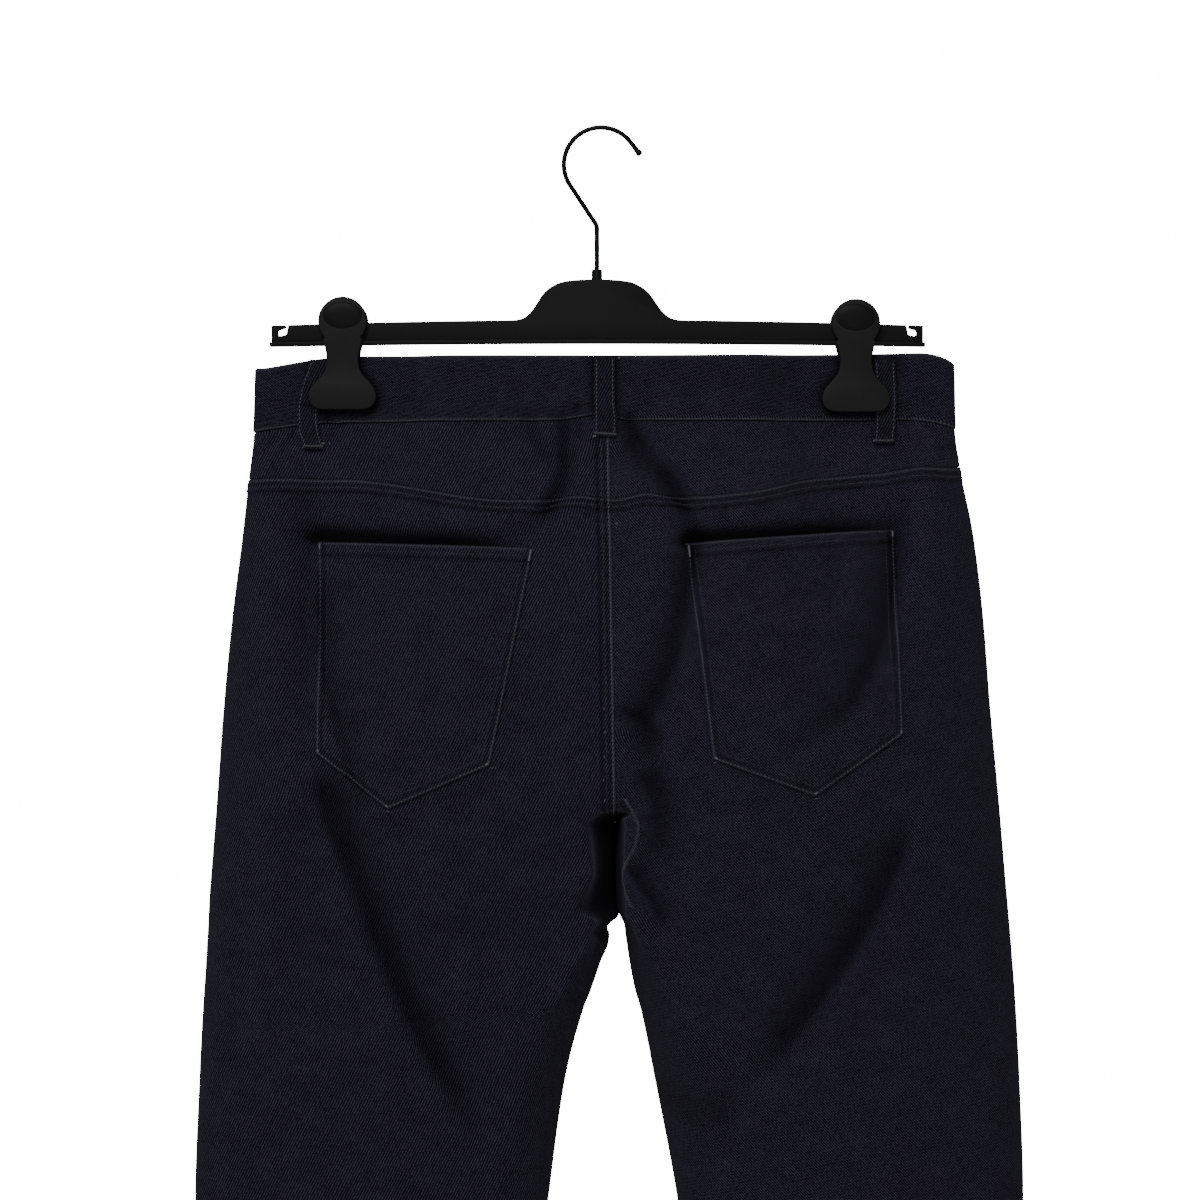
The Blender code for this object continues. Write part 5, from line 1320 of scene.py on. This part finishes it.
def moulded(name, shape, nodes=(), look="plastic"):
    return addPiece(name, meshOf(name, shape), (look,), nodes)


half = hanger["web"] / 2
bar = moulded("hangerBar", plate(barOutline(), -half, half, hanger["bevel"]), ("hanger_bar",))
carved(bar, [notchShape(way) for way in (-1, 1)])
half = hanger["flange"] / 2
moulded("hangerFlange", plate(flangeOutline(), -half, half, hanger["flangeBevel"]))
moulded("hangerCollar", turned(collar["rings"], 48, (collar["x"], 0)))

hook = {
    "wire": 1.55, "stemX": -2.5, "stemFoot": -99.0, "stemTop": -74.0, "crank": 7.0, "crankZ": -61.5,
    "crankTurn": (-6, 30), "radius": 23.0, "turn": (212, 38), "sides": 20,
    "tip": ((4.0, 1.0), (7.2, 1.1), (8.4, 1.35), (9.2, 1.4), (10.0, 1.15), (10.5, 0.6)),
}


def hookMesh():
    stem = np.array([(hook["stemX"], z) for z in np.linspace(hook["stemFoot"], hook["stemTop"], 6)])
    crank = arc(hook["stemX"] - hook["crank"], hook["crankZ"], hook["crank"], *hook["crankTurn"], 12)
    bend = arc(0, hook["wire"] - hook["radius"], hook["radius"], *hook["turn"], 72)
    heading = math.radians(hook["turn"][1] - 90)
    onwards = np.array([math.cos(heading), math.sin(heading)])
    tip = [bend[-1] + step * onwards for step, _ in hook["tip"]]
    route = np.concatenate([stem, crank, bend, tip])
    swells = [swell for _, swell in hook["tip"]]
    radii = hook["wire"] * np.concatenate([np.ones(len(route) - len(tip)), swells])
    ways = unit(np.gradient(route, axis=0))
    turn = np.linspace(0, 2 * math.pi, hook["sides"] + 1)
    aside = np.stack([ways[:, 1], 0 * radii, -ways[:, 0]], -1)[:, None] * np.cos(turn)[:, None]
    ring = aside + np.sin(turn)[:, None] * np.array([0, 1, 0])
    middle = np.stack([route[:, 0], 0 * radii, route[:, 1]], -1)
    points = middle[:, None] + ring * radii[:, None, None]
    shape = bmesh.new()
    shape.from_mesh(gridMesh("hookRoute", points, False))
    bmesh.ops.remove_doubles(shape, verts=shape.verts[:], dist=1e-6)
    bmesh.ops.holes_fill(shape, edges=shape.edges[:], sides=0)
    bmesh.ops.recalc_face_normals(shape, faces=shape.faces[:])
    return meshOf("hangerHook", shape, 50)


addPiece("hangerHook", hookMesh(), ("wire",), ("hanger_hook",))


def buildJaw(side, face):
    x, drop, way = clipX[side], clips["drop"][side], -1 if face == "back" else 1
    low, high = sorted((way * clips["face"], way * (clips["face"] + clips["thick"])))
    jaw = plate(jawOutline(x, drop), low, high, clips["bevel"])
    for vertex in jaw.verts:
        below = smooth((clips["flareFrom"] - vertex.co.z / mm - drop) / clips["flareRun"])
        isOuter = abs(vertex.co.y / mm) > clips["face"] + 1
        vertex.co.y += way * clips["flare"] * float(below) * isOuter * mm
    name = f"clip{side.title()}{face.title()}"
    moulded(name + "Jaw", jaw, (f"clip_{side}_{face}_jaw",), "clipPlastic")
    radius, high = clips["dome"], clips["domeHigh"]
    rings = [(0, clips["domeSunk"]), (radius, clips["domeSunk"])]
    rings += [(radius * out, high * up) for out, up in clips["domeRings"]]
    dome = turned(rings, 72)
    faced = Vector((0, way, 0)).to_track_quat("Z", "Y").to_matrix().to_4x4()
    bmesh.ops.transform(dome, matrix=faced, verts=dome.verts[:])
    bmesh.ops.scale(dome, vec=clips["domeSpan"], verts=dome.verts[:])
    place = (x, way * (clips["face"] + clips["thick"]), clips["headZ"] + clips["domeUp"] - drop)
    bmesh.ops.translate(dome, verts=dome.verts[:], vec=Vector(place) * mm)
    moulded(name + "Dome", dome)


for side in ("left", "right"):
    for face in ("back", "front"):
        buildJaw(side, face)
    x, drop = clipX[side], clips["drop"][side]
    padLeft, padRight = (x + end for end in clips["pad"][side])
    top, foot = clips["padZ"]
    padPoints = [(padLeft, foot), (padRight, foot), (padRight, top), (padLeft, top)]
    bossZ = hanger["top"] + sag(x) + clips["bossLift"] + clips["boss"]
    boss = arc(x, bossZ, clips["boss"], 0, 360, 32)[:-1]
    for face, way in (("Back", -1), ("Front", 1)):
        low, high = sorted((way * clips["padFace"], way * (clips["face"] + 1)))
        pad = plate(padPoints, low, high, clips["padBevel"])
        moulded(f"clip{side.title()}{face}Pad", pad, look="clipPlastic")
        low, high = sorted((way * cloth["gap"] / 2, way * (clips["face"] + 1)))
        moulded(f"clip{side.title()}{face}Boss", plate(boss, low, high), look="clipPlastic")
print("hanger made")

# ---- Sewing: small beads of thread set along the rows ----

bead = {"length": 1.9, "width": 0.52, "fine": 0.44, "height": 0.46, "pitch": 2.45, "sides": 6,
        "rings": 4, "seed": 5}
# brighter ends of bar tacks on the back, raised and in the thread copy painted brightest, as x, z and
# run
knots = [(-4.8, -192.6, 2.0), (-173.6, -194.8, 2.4), (10.6, -142.5, 1.4)]
# short ends of thread that stand off their seam, as x, z and lean in degrees
looseEnds = [
    (1.9, -357, 16), (2.4, -371, -24), (2.1, -386, 34), (1.6, -400, 8), (2.2, -412, -30),
    (9.5, -246, 70), (-168.5, -195.4, 40), (-184.0, -197.5, -65),
    (168.6, -193.0, -20), (7.6, -188.8, 12), (-44.5, -262.0, 10),
    (57.2, -258.6, -40), (-66.0, -392.6, 75), (69.0, -389.1, -70),
    (-128.6, -419.0, 80), (130.0, -411.2, -76),
]


def stations(points, normals, pitch):  # evenly spaced places along a line on the cloth
    gaps = np.linalg.norm(np.diff(points, axis=0), axis=-1)
    far = np.concatenate([[0], np.cumsum(gaps)])
    at = np.arange(pitch / 2, far[-1], pitch)
    pick = lambda field, where: np.stack([np.interp(where, far, field[:, k]) for k in range(3)], -1)
    ways = unit(pick(points, np.minimum(at + 0.6, far[-1])) - pick(points, np.maximum(at - 0.6, 0)))
    return pick(points, at), ways, unit(pick(normals, at))


def beads(name, look, places, ways, normals, length, width, height):
    shape = bmesh.new()
    bmesh.ops.create_uvsphere(shape, u_segments=bead["sides"], v_segments=bead["rings"], radius=0.5)
    bmesh.ops.triangulate(shape, faces=shape.faces[:])
    base = np.array([v.co for v in shape.verts])
    faces = np.array([[v.index for v in f.verts] for f in shape.faces])
    shape.free()
    aside = unit(np.cross(normals, ways))
    size = np.random.default_rng(bead["seed"]).normal(1, 0.07, (len(places), 1))
    length, width = length * size, width * (2 - size)
    co = places[:, None] + base[:, 2, None] * (ways * length)[:, None]
    co = co + base[:, 0, None] * (aside * width)[:, None]
    co = co + base[:, 1, None] * normals[:, None] * height
    mesh = bpy.data.meshes.new(name)
    index = (faces[None] + np.arange(len(places))[:, None, None] * len(base)).reshape(-1, 3)
    mesh.from_pydata((co.reshape(-1, 3) * mm).tolist(), [], index.tolist())
    mesh.shade_smooth()
    return addPiece(name, mesh, (look,))


for look, rows in stitchRows.items():
    lines = [stations(points, normals, bead["pitch"]) for points, normals in rows]
    places, ways, normals = (np.concatenate(parts) for parts in zip(*lines))
    width = bead["width"] if look == "thread" else bead["fine"]
    beads(look + "Rows", look, places, ways, normals, bead["length"], width, bead["height"])

tackLines = [stations(points, normals, tackForm["pitch"]) for points, normals in tackRows]
knotLines = []
for side in ("left", "right"):
    topOuter, topInner, lowInner, tip, lowOuter = pocketOutline(side, 1.3)
    for corner, after, run in (
        (topInner, lowInner, 7.0), (topOuter, lowOuter, 3.0), (lowInner, tip, 2.0),
        (tip, lowOuter, 2.0), (lowOuter, topOuter, 2.0),
    ):
        line = mix(corner, after, np.linspace(0, run / np.linalg.norm(after - corner), 8)[:, None])
        knotLines.append(stations(*onPocket(side, line[:, 0], line[:, 1]), tackForm["pitch"]))
for x, z, run in knots:
    line = onFace("back", x + np.linspace(0, run, 6), z + np.zeros(6))
    places, ways, normals = stations(*line, tackForm["pitch"])
    knotLines.append((places + normals * tackForm["knotLift"], ways, normals))
# the bar tacks are in a half-shaded copy of the thread, their knots in the copy painted brightest
for name, look, lines in (("barTacks", "dimmerThread", tackLines), ("knots", "litThread", knotLines)):
    places, ways, normals = (np.concatenate(parts) for parts in zip(*lines))
    across = np.cross(normals, ways)
    size = tackForm["width"], tackForm["thick"], tackForm["height"]
    beads(name, look, places + normals * tackForm["lift"], across, normals, *size)

# the cloth's bound edge shows as slanting threads where the right side of the hollow rolls open
binding = {
    "points": ((14.3, -411.4), (20.6, -423.5), (22.4, -433), (19.8, -442), (15.2, -450),
               (13.0, -457.6), (14.3, -467), (18, -477)),
    "length": 3.0, "pitch": 1.15, "slant": 0.7, "width": 0.4, "height": 0.4,
}
line = curveThrough(binding["points"], 8)
places, ways, normals = stations(*onFace("back", line[:, 0], line[:, 1]), binding["pitch"])
across = unit(np.cross(normals, ways) + ways * binding["slant"])
size = binding["length"], binding["width"], binding["height"]
beads("boundEdge", "dimThread", places, across, normals, *size)

loose = {"standOff": 0.35, "lift": 2.4, "length": 2.4, "thick": 0.34}
ends = np.array(looseEnds)
points, normals = onFace("back", ends[:, 0], ends[:, 1])
leans = np.radians(ends[:, 2])
ways = np.stack([np.sin(leans), 0 * leans - loose["standOff"], -np.cos(leans)], -1)
places = points + normals * loose["lift"]
size = loose["length"], loose["thick"], loose["thick"]
# the loose ends are in the copy of the thread painted brightest
beads("threadEnds", "litThread", places, unit(ways), normals, *size)
print("sewing made")

# ---- What each sheet of cloth was cut to, in metres ----

cuts = {  # width, length, area, and what it hangs from
    "back": (0.300, 1.040, 0.2450, ["yoke{side}"]),
    "front": (0.270, 1.065, 0.2340, ["waistband"]),
    "yoke": (0.235, 0.054, 0.0100, ["waistband"]),
    "facing": (0.130, 0.100, 0.0105, ["front{side}"]),
    "pocket": (0.134, 0.158, 0.0180, ["back{side}"]),
}
for (kind, side), piece in made.items():
    if kind in cuts:
        width, length, area, holders = cuts[kind]

# ---- Camera, light and floor ----

view = {"eye": (-0.0006, -2.2, -0.2914), "focal": 106.45}
camera = bpy.data.objects.new("camera", bpy.data.cameras.new("camera"))
camera.location = view["eye"]
camera.rotation_euler = (math.radians(90), 0, 0)
camera.data.lens = view["focal"]
camera.data.sensor_width = 36
bpy.context.scene.collection.objects.link(camera)
bpy.context.scene.camera = camera

# the backdrop is lit apart, and lends the cloth little light
studio = {"ambient": 0.13, "seen": 16.0}
world = bpy.data.worlds.new("studio")
world.use_nodes = True
background = world.node_tree.nodes["Background"]
background.inputs["Color"].default_value = (1, 1, 1, 1)
toCamera = Value(world.node_tree).node("ShaderNodeLightPath", {}, {}, "Is Camera Ray")
strength = toCamera * (studio["seen"] - studio["ambient"]) + studio["ambient"]
world.node_tree.links.new(strength.socket, background.inputs["Strength"])
bpy.context.scene.world = world

lamps = {
    "key": {"at": (-0.45, -1.8, 1.2), "size": 1.2, "power": 34},
    "left": {"at": (-1.7, -1.1, -0.3), "size": 1.2, "power": 4.5},
    "right": {"at": (1.7, -1.1, -0.3), "size": 1.2, "power": 4.0},
    "low": {"at": (0.3, -2.4, -0.9), "size": 1.0, "power": 6.5},
}
for name, lamp in lamps.items():
    data = bpy.data.lights.new(name, "AREA")
    data.size = lamp["size"]
    data.energy = lamp["power"]
    light = bpy.data.objects.new(name, data)
    light.location = lamp["at"]
    aim = Vector((0, 0, -0.45)) - light.location
    light.rotation_euler = aim.to_track_quat("-Z", "Y").to_euler()
    bpy.context.scene.collection.objects.link(light)

ground = {"z": -1.32, "radius": 2.4, "dark": (0.84, 0.84, 0.84, 1), "pale": (0.86, 0.86, 0.86, 1)}
disc = bmesh.new()
bmesh.ops.create_circle(disc, cap_ends=True, radius=ground["radius"], segments=96)
bmesh.ops.translate(disc, verts=disc.verts[:], vec=(0, 0, ground["z"]))
discMesh = bpy.data.meshes.new("floor")
disc.to_mesh(discMesh)
disc.free()
floor = bpy.data.objects.new("floor", discMesh)
floorMaterial, floorSurface, floorStart = newMaterial("paleFloor", 0.9)
floorWhere = floorStart.node("ShaderNodeTexCoord", {}, {}, "Object")
floorShade = noise(floorStart, floorWhere, 3.0).blend(ground["dark"], ground["pale"])
feed(floorSurface, "Base Color", floorShade)
discMesh.materials.append(floorMaterial)
bpy.context.scene.collection.objects.link(floor)
